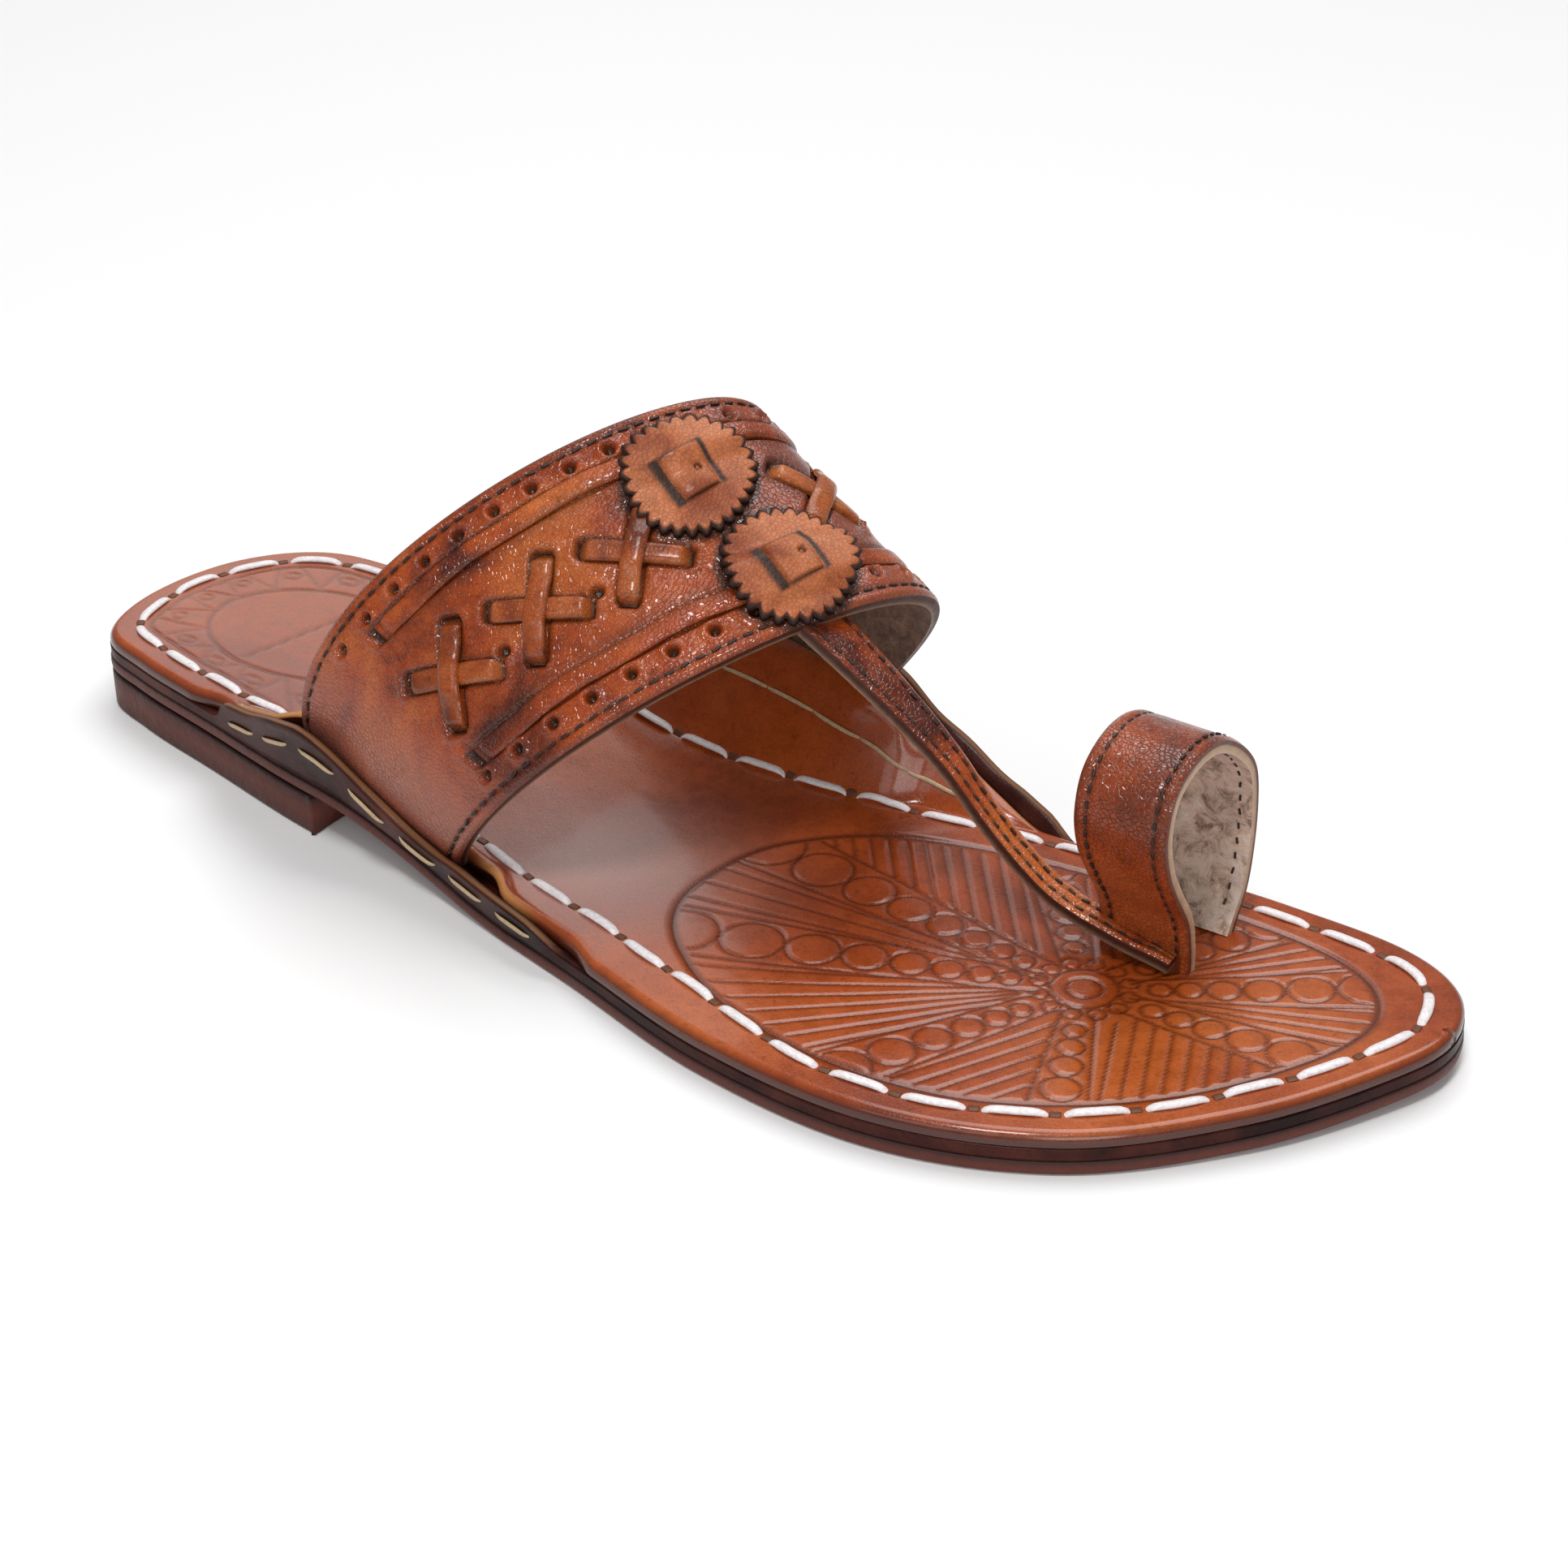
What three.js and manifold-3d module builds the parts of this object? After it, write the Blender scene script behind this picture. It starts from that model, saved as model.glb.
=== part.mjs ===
// Right kolhapuri sandal: stacked leather sole with raised side ears, an instep band, a thong and a toe loop.
// Millimetres. +X points to the toe, +Y to the inner side of the foot, +Z up, and the floor is z = 0.
import * as THREE from 'three';
import Module from 'manifold-3d';
import { mergeVertices } from 'three/addons/utils/BufferGeometryUtils.js';

const wasm = await Module();
wasm.setup();

// Sizes of the sole
const soleLength = 271;
const ballWidth = 95;
const outsoleThickness = 2.6;
const midsoleThickness = 1.9;
const insoleThickness = 2.4;
const heelHeight = 8;
const heelLength = 71;
const shankLength = 52;
const toeSpring = 2;
const toeSpringLength = 42;
const edgeRound = 0.9;
const clearance = 0.3;

// Sizes of the ears, the two flaps that rise from the sole at the waist and hold the band between them
const earHeight = 24;
const earThickness = 1.8;
const innerEarThickness = 2;
const innerEarDrop = 1.2;
const coveWidth = 3;

// Sizes of the upper
const instepHeight = 80;
const bandThickness = 2.6;
const thongThickness = 2.6;
const thongTopWidth = 10;
const thongEndWidth = 6;
const thongTwist = 25;
const thongJoin = 0.8;
const loopWidth = 35.3;
const loopRise = 41.8;
const loopStrapWidth = 16.5;
const loopThickness = 2.6;

// Sizes of what is woven and laid on the band
const stripWidth = 4.2;
const stripThickness = 1.2;
const crossLength = 19;
const rosetteDiameter = 23;
const rosetteThickness = 1.6;
const rosetteTeeth = 28;
const toothDepth = 1.3;
const tabLength = 9;
const tabWidth = 7;

// How finely curved pieces are divided
const soleStations = 54;
const bandStations = 48;
const bandRows = 5;
const loopStations = 40;
const thongStations = 18;

const side = { lateral: -1, medial: 1 };

// Where the two edges of the sole lie, as shares of the ball width, at equal turns from the heel tip to the toe
// tip of a half circle over the sole's length, which keeps both ends round
const soleEdges = [
  { lateral: 0.125, medial: 0.125 },
  { lateral: -0.051, medial: 0.338 },
  { lateral: -0.114, medial: 0.475 },
  { lateral: -0.167, medial: 0.496 },
  { lateral: -0.235, medial: 0.476 },
  { lateral: -0.288, medial: 0.438 },
  { lateral: -0.377, medial: 0.426 },
  { lateral: -0.477, medial: 0.456 },
  { lateral: -0.493, medial: 0.456 },
  { lateral: -0.385, medial: 0.462 },
  { lateral: -0.167, medial: 0.436 },
  { lateral: 0.06, medial: 0.349 },
  { lateral: 0.212, medial: 0.212 },
];

// Top edge of each ear above the footbed, as shares of the ear height, at shares of the length from the centre
const earTops = {
  lateral: [
    { along: -0.346, rise: 0 },
    { along: -0.316, rise: 0.14 },
    { along: -0.278, rise: 0.28 },
    { along: -0.23, rise: 0.42 },
    { along: -0.205, rise: 0.36 },
    { along: -0.173, rise: 0.2 },
    { along: -0.147, rise: 0.11 },
    { along: -0.112, rise: 0.05 },
    { along: -0.082, rise: 0.1 },
    { along: -0.039, rise: 0.07 },
    { along: 0.001, rise: 0 },
  ],
  medial: [
    { along: -0.306, rise: 0 },
    { along: -0.256, rise: 0.22 },
    { along: -0.195, rise: 0.62 },
    { along: -0.125, rise: 0.94 },
    { along: -0.064, rise: 1 },
    { along: -0.014, rise: 0.94 },
    { along: 0.049, rise: 0.75 },
    { along: 0.091, rise: 0.5 },
    { along: 0.131, rise: 0.25 },
    { along: 0.168, rise: 0.08 },
    { along: 0.203, rise: 0 },
  ],
};

// How far each ear leans out for each millimetre that it rises
const earLean = { lateral: 0.45, medial: 0.42 };

// Edges of the instep band, which runs from the lateral side of the sole over to the medial side. Its feet stand
// between the ears, and the handles steer each edge, as shares of the length, ball width and instep height.
const bandEdges = {
  front: {
    lateralFoot: { along: -0.108 },
    lateralHandle: { along: -0.018, across: -0.554, up: 0.686 },
    medialHandle: { along: 0.261, across: 0.745, up: 1.08 },
    medialFoot: { along: -0.016 },
  },
  rear: {
    lateralFoot: { along: -0.231 },
    lateralHandle: { along: -0.284, across: -0.493, up: 0.808 },
    medialHandle: { along: 0.203, across: 0.795, up: 1.625 },
    medialFoot: { along: -0.206 },
  },
};

// Stretch of the sole where each side of the band stands between the ears
const bandPockets = {
  lateral: { from: -0.241, to: -0.086 },
  medial: { from: -0.215, to: 0.067 },
};
const pocketBlend = 0.03;

// The thong runs from under the front of the band to the toe loop's lateral foot, and dips below the straight line
// between them by a share of that line's length
const thongStart = { around: 0.505, back: 0.88 };
const thongDips = [
  { way: 0, dip: 0 },
  { way: 0.2, dip: 0.003 },
  { way: 0.4, dip: 0.025 },
  { way: 0.55, dip: 0.075 },
  { way: 0.7, dip: 0.09 },
  { way: 0.85, dip: 0.05 },
  { way: 1, dip: 0 },
];
const thongEndAlong = 0.36;

// Middle of the toe loop, and its outer outline seen from the front, from the lateral foot over to the medial foot
const loopPlace = { along: 0.306, across: 0.205 };
const loopOutline = [
  { across: -0.156, up: -0.03 },
  { across: -0.161, up: 0.06 },
  { across: -0.215, up: 0.234 },
  { across: -0.348, up: 0.407 },
  { across: -0.459, up: 0.572 },
  { across: -0.5, up: 0.742 },
  { across: -0.432, up: 0.909 },
  { across: -0.235, up: 0.995 },
  { across: 0.03, up: 0.985 },
  { across: 0.303, up: 0.849 },
  { across: 0.459, up: 0.694 },
  { across: 0.5, up: 0.514 },
  { across: 0.482, up: 0.3 },
  { across: 0.43, up: 0.144 },
  { across: 0.33, up: 0.02 },
  { across: 0.29, up: -0.03 },
];

// Decoration on the band: around is the share of the way from the lateral foot to the medial foot, and back is the
// share of the way from the rear edge to the front edge
const strips = [
  { name: 'strip_front', back: 0.826, from: 0.16, to: 0.84 },
  { name: 'strip_rear', back: 0.158, from: 0.185, to: 0.815 },
];
const crosses = [
  { name: 'cross_1', around: 0.205, back: 0.506 },
  { name: 'cross_2', around: 0.305, back: 0.502 },
  { name: 'cross_3', around: 0.405, back: 0.496 },
  { name: 'cross_4', around: 0.595, back: 0.496 },
  { name: 'cross_5', around: 0.695, back: 0.502 },
  { name: 'cross_6', around: 0.795, back: 0.506 },
];
const rosettes = [
  { name: 'rosette_rear', around: 0.485, back: 0.317 },
  { name: 'rosette_front', around: 0.51, back: 0.789 },
];

// Leathers
const leather = (color, roughness) => new THREE.MeshStandardMaterial({ color, roughness, metalness: 0 });
const soleLeather = leather(0x5a2f1d, 0.55);
const midsoleLeather = leather(0x3a2320, 0.6);
const footbedLeather = leather(0x9a4f22, 0.35);
const heelLeather = leather(0x63301c, 0.6);
const upperLeather = leather(0x8a4424, 0.45);
const trimLeather = leather(0x7d3c20, 0.5);

const smoothStep = (t) => {
  const s = THREE.MathUtils.clamp(t, 0, 1);
  return s * s * (3 - 2 * s);
};

// A smooth line through the values of one column, read at any place between its rows
function smoothColumn(places, values) {
  const slopes = values.map((value, i) => {
    const before = Math.max(i - 1, 0);
    const after = Math.min(i + 1, values.length - 1);
    return (values[after] - values[before]) / (places[after] - places[before]);
  });
  return (place) => {
    const inside = THREE.MathUtils.clamp(place, places[0], places[places.length - 1]);
    let i = 0;
    while (i < places.length - 2 && inside > places[i + 1]) i += 1;
    const span = places[i + 1] - places[i];
    const t = (inside - places[i]) / span;
    const rise = values[i + 1] - values[i];
    const a = slopes[i] * span - rise;
    const b = rise - slopes[i + 1] * span;
    return values[i] + t * rise + t * (1 - t) * (a * (1 - t) + b * t);
  };
}

const turnPlaces = soleEdges.map((row, i) => i / (soleEdges.length - 1));
const edgeShare = {
  lateral: smoothColumn(turnPlaces, soleEdges.map((row) => row.lateral)),
  medial: smoothColumn(turnPlaces, soleEdges.map((row) => row.medial)),
};

// Plan outline of the sole, from the heel tip along the lateral edge to the toe tip and back along the medial edge
const ringSize = 2 * soleStations;
function outlinePoint(index) {
  const onLateral = index <= soleStations;
  const turn = onLateral ? index / soleStations : (ringSize - index) / soleStations;
  const share = onLateral ? edgeShare.lateral(turn) : edgeShare.medial(turn);
  return new THREE.Vector2(-soleLength / 2 * Math.cos(Math.PI * turn), ballWidth * share);
}
const outline = Array.from({ length: ringSize }, (unused, index) => outlinePoint(index));
const outlineNormals = outline.map((point, index) => {
  const next = outline[(index + 1) % ringSize];
  const last = outline[(index + ringSize - 1) % ringSize];
  return new THREE.Vector2(next.y - last.y, last.x - next.x).normalize();
});
const sideOf = (index) => (index <= soleStations ? 'lateral' : 'medial');

// Across place of the sole's edge at a place along it
function edgeAcross(sideName, x) {
  const turn = Math.acos(THREE.MathUtils.clamp(-2 * x / soleLength, -1, 1)) / Math.PI;
  return ballWidth * edgeShare[sideName](turn);
}

// Underside of the outsole: level on the heel, down through the shank, flat at the ball and up at the toe
const heelFront = -soleLength / 2 + heelLength;
function groundHeight(x) {
  const heelPart = heelHeight * smoothStep((heelFront + shankLength - x) / shankLength);
  const toePart = Math.max(0, (x - soleLength / 2 + toeSpringLength) / toeSpringLength);
  return heelPart + toeSpring * toePart * toePart;
}
const midsoleBase = outsoleThickness + clearance;
const midsoleTop = midsoleBase + midsoleThickness;
const insoleBase = midsoleTop + clearance;
const footbedTop = insoleBase + insoleThickness;

const earRiseShare = {};
for (const name of Object.keys(side)) {
  const rows = earTops[name];
  earRiseShare[name] = smoothColumn(rows.map((row) => row.along), rows.map((row) => row.rise));
}
const earRise = (name, x) => Math.max(0, earHeight * earRiseShare[name](x / soleLength));

// 1 between two places along the sole, falling to 0 over a blend on either side of them
function stretch(x, from, to, blend) {
  const s = x / soleLength;
  return smoothStep((s - from + blend) / blend) * smoothStep((to + blend - s) / blend);
}
const pocketWidth = bandThickness + 2 * clearance;
const earEnds = (name) => [earTops[name][0].along, earTops[name][earTops[name].length - 1].along];
const inEar = (name, x) => stretch(x, ...earEnds(name), pocketBlend);
function outerEarRise(name, x) {
  const [from, to] = earEnds(name);
  const flap = stretch(x, from + pocketBlend, to - pocketBlend, pocketBlend);
  return earRise(name, x) + flap * (footbedTop - midsoleTop);
}
const inPocket = (name, x) => stretch(x, bandPockets[name].from, bandPockets[name].to, pocketBlend);

// How far the edge of the insole lies inside the edge of the sole
function insoleInset(name, x) {
  return clearance + earThickness * inEar(name, x) + (pocketWidth - clearance) * inPocket(name, x);
}

// One ring round the sole: the profile gives an inset from the outline and a height above the ground line
function soleRing(profile) {
  return outline.map((point, index) => {
    const name = sideOf(index);
    const { inset, height } = profile(name, point.x);
    const x = point.x - outlineNormals[index].x * inset;
    const y = point.y - outlineNormals[index].y * inset;
    return new THREE.Vector3(x, y, groundHeight(x) + height);
  });
}

function geometryFrom(points, faces) {
  const geometry = new THREE.BufferGeometry();
  geometry.setAttribute('position', new THREE.Float32BufferAttribute(points.flatMap((p) => [p.x, p.y, p.z]), 3));
  geometry.setIndex(faces.flat());
  return geometry;
}

// Closed body through rings of equal size, with both ends closed by strips between their two long sides
function loftRings(rings) {
  const size = rings[0].length;
  const half = size / 2;
  const faces = [];
  const quad = (a, b, c, d) => {
    if (new Set([a, b, c]).size === 3) faces.push([a, b, c]);
    if (new Set([a, c, d]).size === 3) faces.push([a, c, d]);
  };
  for (let r = 0; r < rings.length - 1; r += 1) {
    for (let i = 0; i < size; i += 1) {
      const next = (i + 1) % size;
      quad(r * size + i, r * size + next, (r + 1) * size + next, (r + 1) * size + i);
    }
  }
  const top = (rings.length - 1) * size;
  for (let i = 0; i < half; i += 1) {
    const far = (size - i) % size;
    quad(i, far, size - i - 1, i + 1);
    quad(top + i, top + i + 1, top + size - i - 1, top + far);
  }
  return geometryFrom(rings.flat(), faces);
}

// Closed sheet of one thickness on a grid of places, each with a point on its middle surface and a normal
function sheetBody(columns, rows, place, thickness) {
  const outer = [];
  const inner = [];
  for (let i = 0; i <= columns; i += 1) {
    for (let j = 0; j <= rows; j += 1) {
      const { point, normal } = place(i / columns, j / rows);
      outer.push(point.clone().addScaledVector(normal, thickness / 2));
      inner.push(point.clone().addScaledVector(normal, -thickness / 2));
    }
  }
  const count = outer.length;
  const at = (i, j) => i * (rows + 1) + j;
  const faces = [];
  const quad = (a, b, c, d) => faces.push([a, b, c], [a, c, d]);
  for (let i = 0; i < columns; i += 1) {
    for (let j = 0; j < rows; j += 1) {
      quad(at(i, j), at(i, j + 1), at(i + 1, j + 1), at(i + 1, j));
      quad(count + at(i, j), count + at(i + 1, j), count + at(i + 1, j + 1), count + at(i, j + 1));
    }
  }
  for (let i = 0; i < columns; i += 1) {
    quad(at(i, 0), at(i + 1, 0), count + at(i + 1, 0), count + at(i, 0));
    quad(at(i + 1, rows), at(i, rows), count + at(i, rows), count + at(i + 1, rows));
  }
  for (let j = 0; j < rows; j += 1) {
    quad(at(0, j + 1), at(0, j), count + at(0, j), count + at(0, j + 1));
    quad(at(columns, j), at(columns, j + 1), count + at(columns, j + 1), count + at(columns, j));
  }
  return geometryFrom([...outer, ...inner], faces);
}

// Solids are joined and cut as manifolds
function toSolid(geometry) {
  const bare = geometry.clone();
  bare.deleteAttribute('normal');
  bare.deleteAttribute('uv');
  const merged = mergeVertices(bare, 1e-5);
  const vertProperties = Float32Array.from(merged.attributes.position.array);
  const triVerts = Uint32Array.from(merged.index.array);
  return new wasm.Manifold(new wasm.Mesh({ numProp: 3, vertProperties, triVerts }));
}
function toGeometry(solid) {
  const mesh = solid.getMesh();
  const geometry = new THREE.BufferGeometry();
  geometry.setAttribute('position', new THREE.Float32BufferAttribute(mesh.vertProperties, 3));
  geometry.setIndex(Array.from(mesh.triVerts));
  return geometry;
}
function largestBody(solid) {
  return solid.decompose().reduce((best, body) => (body.volume() > best.volume() ? body : best));
}

// Middle surface of the instep band: straight lines from the rear edge to the front edge
function bandEdgeCurve({ lateralFoot, lateralHandle, medialHandle, medialFoot }) {
  const foot = (name, { along }) => {
    const x = along * soleLength;
    const inset = earThickness + pocketWidth / 2;
    const y = edgeAcross(name, x) - side[name] * inset;
    return new THREE.Vector3(x, y, groundHeight(x) + midsoleTop + clearance);
  };
  const handle = ({ along, across, up }) => {
    return new THREE.Vector3(along * soleLength, across * ballWidth, up * instepHeight);
  };
  const ends = [foot('lateral', lateralFoot), foot('medial', medialFoot)];
  const curve = new THREE.CubicBezierCurve3(ends[0], handle(lateralHandle), handle(medialHandle), ends[1]);
  curve.arcLengthDivisions = 800;
  return curve;
}
const frontEdge = bandEdgeCurve(bandEdges.front);
const rearEdge = bandEdgeCurve(bandEdges.rear);
function onBand(around, back, above = 0) {
  const front = frontEdge.getPointAt(around);
  const rear = rearEdge.getPointAt(around);
  const frontRun = frontEdge.getTangentAt(around).multiplyScalar(frontEdge.getLength());
  const rearRun = rearEdge.getTangentAt(around).multiplyScalar(rearEdge.getLength());
  const run = rearRun.lerp(frontRun, back);
  const across = front.clone().sub(rear);
  const normal = across.clone().cross(run).normalize();
  const point = rear.clone().lerp(front, back).addScaledVector(normal, above);
  return { point, normal, run, across };
}

// Band, also made a clearance thicker and longer as the cut that frees the ears from it
function bandBody(extra) {
  const reach = extra / (frontEdge.getPointAt(0.5).distanceTo(rearEdge.getPointAt(0.5)));
  const place = (u, v) => onBand(u, THREE.MathUtils.lerp(-reach, 1 + reach, v));
  return toSolid(sheetBody(bandStations, bandRows, place, bandThickness + 2 * extra));
}

// Toe loop: a strap bent round the big toe, its two feet let into the footbed
const loopBase = new THREE.Vector3(loopPlace.along * soleLength, loopPlace.across * ballWidth, footbedTop);
const loopCurve = new THREE.CatmullRomCurve3(
  loopOutline.map((row) => new THREE.Vector3(0, row.across * loopWidth, row.up * loopRise)),
  false,
  'centripetal',
);
function loopBody(extra) {
  const place = (u, v) => {
    const run = loopCurve.getTangentAt(u);
    const normal = new THREE.Vector3(0, -run.z, run.y);
    const point = loopCurve.getPointAt(u).addScaledVector(normal, -loopThickness / 2).add(loopBase);
    point.x += (v - 0.5) * (loopStrapWidth + 2 * extra);
    return { point, normal };
  };
  return toSolid(sheetBody(loopStations, 2, place, loopThickness + 2 * extra));
}

// Thong: a strap that narrows and turns on edge between the toes, joined to the band and to the loop's foot
function thongBody() {
  const below = thongJoin - (bandThickness + thongThickness) / 2;
  const start = onBand(thongStart.around, thongStart.back, below).point;
  const twist = THREE.MathUtils.degToRad(thongTwist);
  const rise = (thongThickness * Math.cos(twist) + thongEndWidth * Math.sin(twist)) / 2 + clearance;
  const end = loopBase.clone().add(new THREE.Vector3(
    thongEndAlong * loopStrapWidth,
    loopOutline[1].across * loopWidth - thongEndWidth / 2 + loopThickness - thongJoin,
    rise,
  ));
  const length = start.distanceTo(end);
  const curve = new THREE.CatmullRomCurve3(thongDips.map(({ way, dip }) => {
    const point = start.clone().lerp(end, way);
    point.z -= dip * length;
    return point;
  }));
  const place = (u, v) => {
    const run = curve.getTangentAt(u);
    const flat = new THREE.Vector3(0, 1, 0).addScaledVector(run, -run.y).normalize();
    const reach = flat.clone().applyAxisAngle(run, twist * smoothStep(u));
    const normal = run.clone().cross(reach).normalize();
    const width = THREE.MathUtils.lerp(thongTopWidth, thongEndWidth, smoothStep(u));
    const point = curve.getPointAt(u).addScaledVector(reach, (0.5 - v) * width);
    return { point, normal };
  };
  return toSolid(sheetBody(thongStations, 2, place, thongThickness));
}

// Outsole, midsole with the outer ears, and insole with the inner ears
function outsoleSolid() {
  const ring = (inset, height) => soleRing(() => ({ inset, height }));
  return toSolid(loftRings([
    ring(edgeRound, 0),
    ring(0, edgeRound / 2),
    ring(0, outsoleThickness - edgeRound / 3),
    ring(edgeRound / 3, outsoleThickness),
  ]));
}
function midsoleSolid() {
  const lean = (name, x) => earLean[name] * outerEarRise(name, x);
  return toSolid(loftRings([
    soleRing(() => ({ inset: edgeRound, height: midsoleBase })),
    soleRing(() => ({ inset: edgeRound / 3, height: midsoleBase + edgeRound / 3 })),
    soleRing((name, x) => ({ inset: edgeRound / 3 - lean(name, x), height: midsoleTop + outerEarRise(name, x) })),
    soleRing((name, x) => ({ inset: earThickness - lean(name, x), height: midsoleTop + outerEarRise(name, x) })),
    soleRing(() => ({ inset: earThickness + clearance, height: midsoleTop })),
  ]));
}
function insoleSolid() {
  const rise = (name, x) => Math.max(0, earRise(name, x) - innerEarDrop);
  const level = (inset, height, part) => soleRing((name, x) => ({
    inset: insoleInset(name, x) + inset - earLean[name] * rise(name, x) * part,
    height: height + rise(name, x) * part,
  }));
  const flat = innerEarThickness + coveWidth;
  return toSolid(loftRings([
    level(edgeRound, insoleBase, 0),
    level(0, insoleBase + edgeRound / 3, 0),
    level(edgeRound / 4, footbedTop - edgeRound, 1),
    level(edgeRound, footbedTop - edgeRound / 5, 1),
    level(innerEarThickness, footbedTop, 1),
    level(innerEarThickness + coveWidth * 0.3, footbedTop, 0.35),
    level(innerEarThickness + coveWidth * 0.6, footbedTop, 0.08),
    level(flat, footbedTop, 0),
  ]));
}

// Heel lift: the rear of the sole's outline, cut square at its breast
function heelSolid() {
  const ring = (inset, z) => outline.map((point, index) => new THREE.Vector3(
    point.x - outlineNormals[index].x * inset,
    point.y - outlineNormals[index].y * inset,
    z,
  ));
  const top = heelHeight - clearance;
  const body = toSolid(loftRings([
    ring(edgeRound, 0),
    ring(edgeRound / 3, edgeRound / 2),
    ring(edgeRound / 3, top - edgeRound / 3),
    ring(edgeRound, top),
  ]));
  const block = new THREE.BoxGeometry(soleLength, 2 * ballWidth, 4 * heelHeight);
  block.translate(heelFront + soleLength / 2, 0, 0);
  return body.subtract(toSolid(block));
}

// A flat piece laid on the band at a spot: its outline is given in millimetres around and back from the spot
function bandFrame({ around, back }) {
  const { run, across } = onBand(around, back);
  const shear = run.dot(across) / across.length();
  return (dx, dy) => ({
    around: around + dx / run.length(),
    back: back + (dy - dx * shear / run.length()) / across.length(),
  });
}

// Height of a rosette's underside above the band, which rises over the woven strip below it
const stripTop = bandThickness / 2 + clearance + stripThickness;
function rosetteBase(back, width) {
  const nearest = Math.min(...strips.map((strip) => Math.abs(strip.back - back))) * width;
  const lift = 1 - smoothStep((nearest - stripWidth / 2 - 2 * clearance) / stripWidth);
  return bandThickness / 2 + clearance + lift * (stripThickness + clearance);
}
function rosetteBody(spot, extra) {
  const frame = bandFrame(spot);
  const width = onBand(spot.around, spot.back).across.length();
  const spokes = 2 * rosetteTeeth;
  const circles = 4;
  const place = (u, v) => {
    const angle = -2 * Math.PI * u;
    const tooth = Math.round(u * spokes) % 2 === 1 ? toothDepth : 0;
    const radius = v * (rosetteDiameter / 2 + extra - tooth);
    const { around, back } = frame(radius * Math.cos(angle), radius * Math.sin(angle));
    const base = rosetteBase(back, width) - extra;
    return onBand(around, back, base + rosetteThickness / 2 + extra);
  };
  return { place, spokes, circles, thickness: rosetteThickness + 2 * extra };
}

// Closed disc from a polar grid of places
function discBody({ place, spokes, circles, thickness }) {
  const points = [];
  for (const sideUp of [1, -1]) {
    for (let c = 0; c <= circles; c += 1) {
      for (let i = 0; i < (c === 0 ? 1 : spokes); i += 1) {
        const { point, normal } = place(i / spokes, c / circles);
        points.push(point.clone().addScaledVector(normal, sideUp * thickness / 2));
      }
    }
  }
  const perSide = 1 + circles * spokes;
  const at = (c, i) => (c === 0 ? 0 : 1 + (c - 1) * spokes + (i % spokes));
  const faces = [];
  for (let i = 0; i < spokes; i += 1) {
    for (let c = 0; c < circles; c += 1) {
      const ring = [at(c, i), at(c + 1, i), at(c + 1, i + 1), at(c, i + 1)];
      faces.push([ring[0], ring[1], ring[2]]);
      faces.push([perSide + ring[0], perSide + ring[2], perSide + ring[1]]);
      if (c > 0) faces.push([ring[0], ring[2], ring[3]], [perSide + ring[0], perSide + ring[3], perSide + ring[2]]);
    }
    const a = at(circles, i);
    const b = at(circles, i + 1);
    faces.push([a, perSide + a, perSide + b], [a, perSide + b, b]);
  }
  return geometryFrom(points, faces);
}

// Woven strips: long ones beside the edges, and short ones in pairs that cross
function stripSolid({ back, from, to }) {
  const width = onBand(0.5, back).across.length();
  const place = (u, v) => {
    const around = THREE.MathUtils.lerp(from, to, u);
    return onBand(around, back + (v - 0.5) * stripWidth / width, stripTop - stripThickness / 2);
  };
  return toSolid(sheetBody(bandStations, 1, place, stripThickness));
}
function crossArm(spot, direction, over) {
  const frame = bandFrame(spot);
  const place = (u, v) => {
    const run = (u - 0.5) * crossLength;
    const reach = (v - 0.5) * stripWidth * (1 - 0.3 * (2 * u - 1) ** 4);
    const dx = (run - direction * reach) * Math.SQRT1_2;
    const dy = (direction * run + reach) * Math.SQRT1_2;
    const { around, back } = frame(dx, dy);
    const lift = over ? stripThickness * (1 - smoothStep((Math.abs(run) - stripWidth / 2) / stripWidth)) : 0;
    return onBand(around, back, stripTop - stripThickness / 2 + lift);
  };
  return toSolid(sheetBody(8, 1, place, stripThickness));
}

// Small square tab threaded through the middle of a rosette
function tabSolid(spot) {
  const frame = bandFrame(spot);
  const width = onBand(spot.around, spot.back).across.length();
  const place = (u, v) => {
    const { around, back } = frame((u - 0.5) * tabWidth, (v - 0.5) * tabLength);
    const base = rosetteBase(back, width) + rosetteThickness + clearance;
    return onBand(around, back, base + stripThickness / 2);
  };
  return toSolid(sheetBody(2, 4, place, stripThickness));
}

// The assembled sandal
const sandal = new THREE.Group();
function addPiece(name, solid, material) {
  const mesh = new THREE.Mesh(toGeometry(solid), material);
  mesh.name = name;
  sandal.add(mesh);
}

const deeper = (solid) => solid.add(solid.translate([0, 0, -clearance]));
const bandCut = deeper(bandBody(clearance));
const loopCut = deeper(loopBody(clearance));
addPiece('outsole', outsoleSolid(), soleLeather);
addPiece('heel', heelSolid(), heelLeather);
addPiece('midsole', largestBody(midsoleSolid().subtract(bandCut)), midsoleLeather);
addPiece('insole', largestBody(insoleSolid().subtract(bandCut).subtract(loopCut)), footbedLeather);
addPiece('upper', bandBody(0).add(thongBody()).add(loopBody(0)), upperLeather);
for (const strip of strips) addPiece(strip.name, stripSolid(strip), trimLeather);
const rosetteCut = rosettes
  .map((spot) => toSolid(discBody(rosetteBody(spot, clearance))))
  .reduce((all, cut) => all.add(cut));
for (const spot of crosses) {
  const arms = crossArm(spot, 1, false).add(crossArm(spot, -1, true));
  addPiece(spot.name, largestBody(arms.subtract(rosetteCut)), trimLeather);
}
for (const spot of rosettes) {
  addPiece(spot.name, toSolid(discBody(rosetteBody(spot, 0))), trimLeather);
  addPiece(`${spot.name}_tab`, tabSolid(spot), upperLeather);
}

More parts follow.
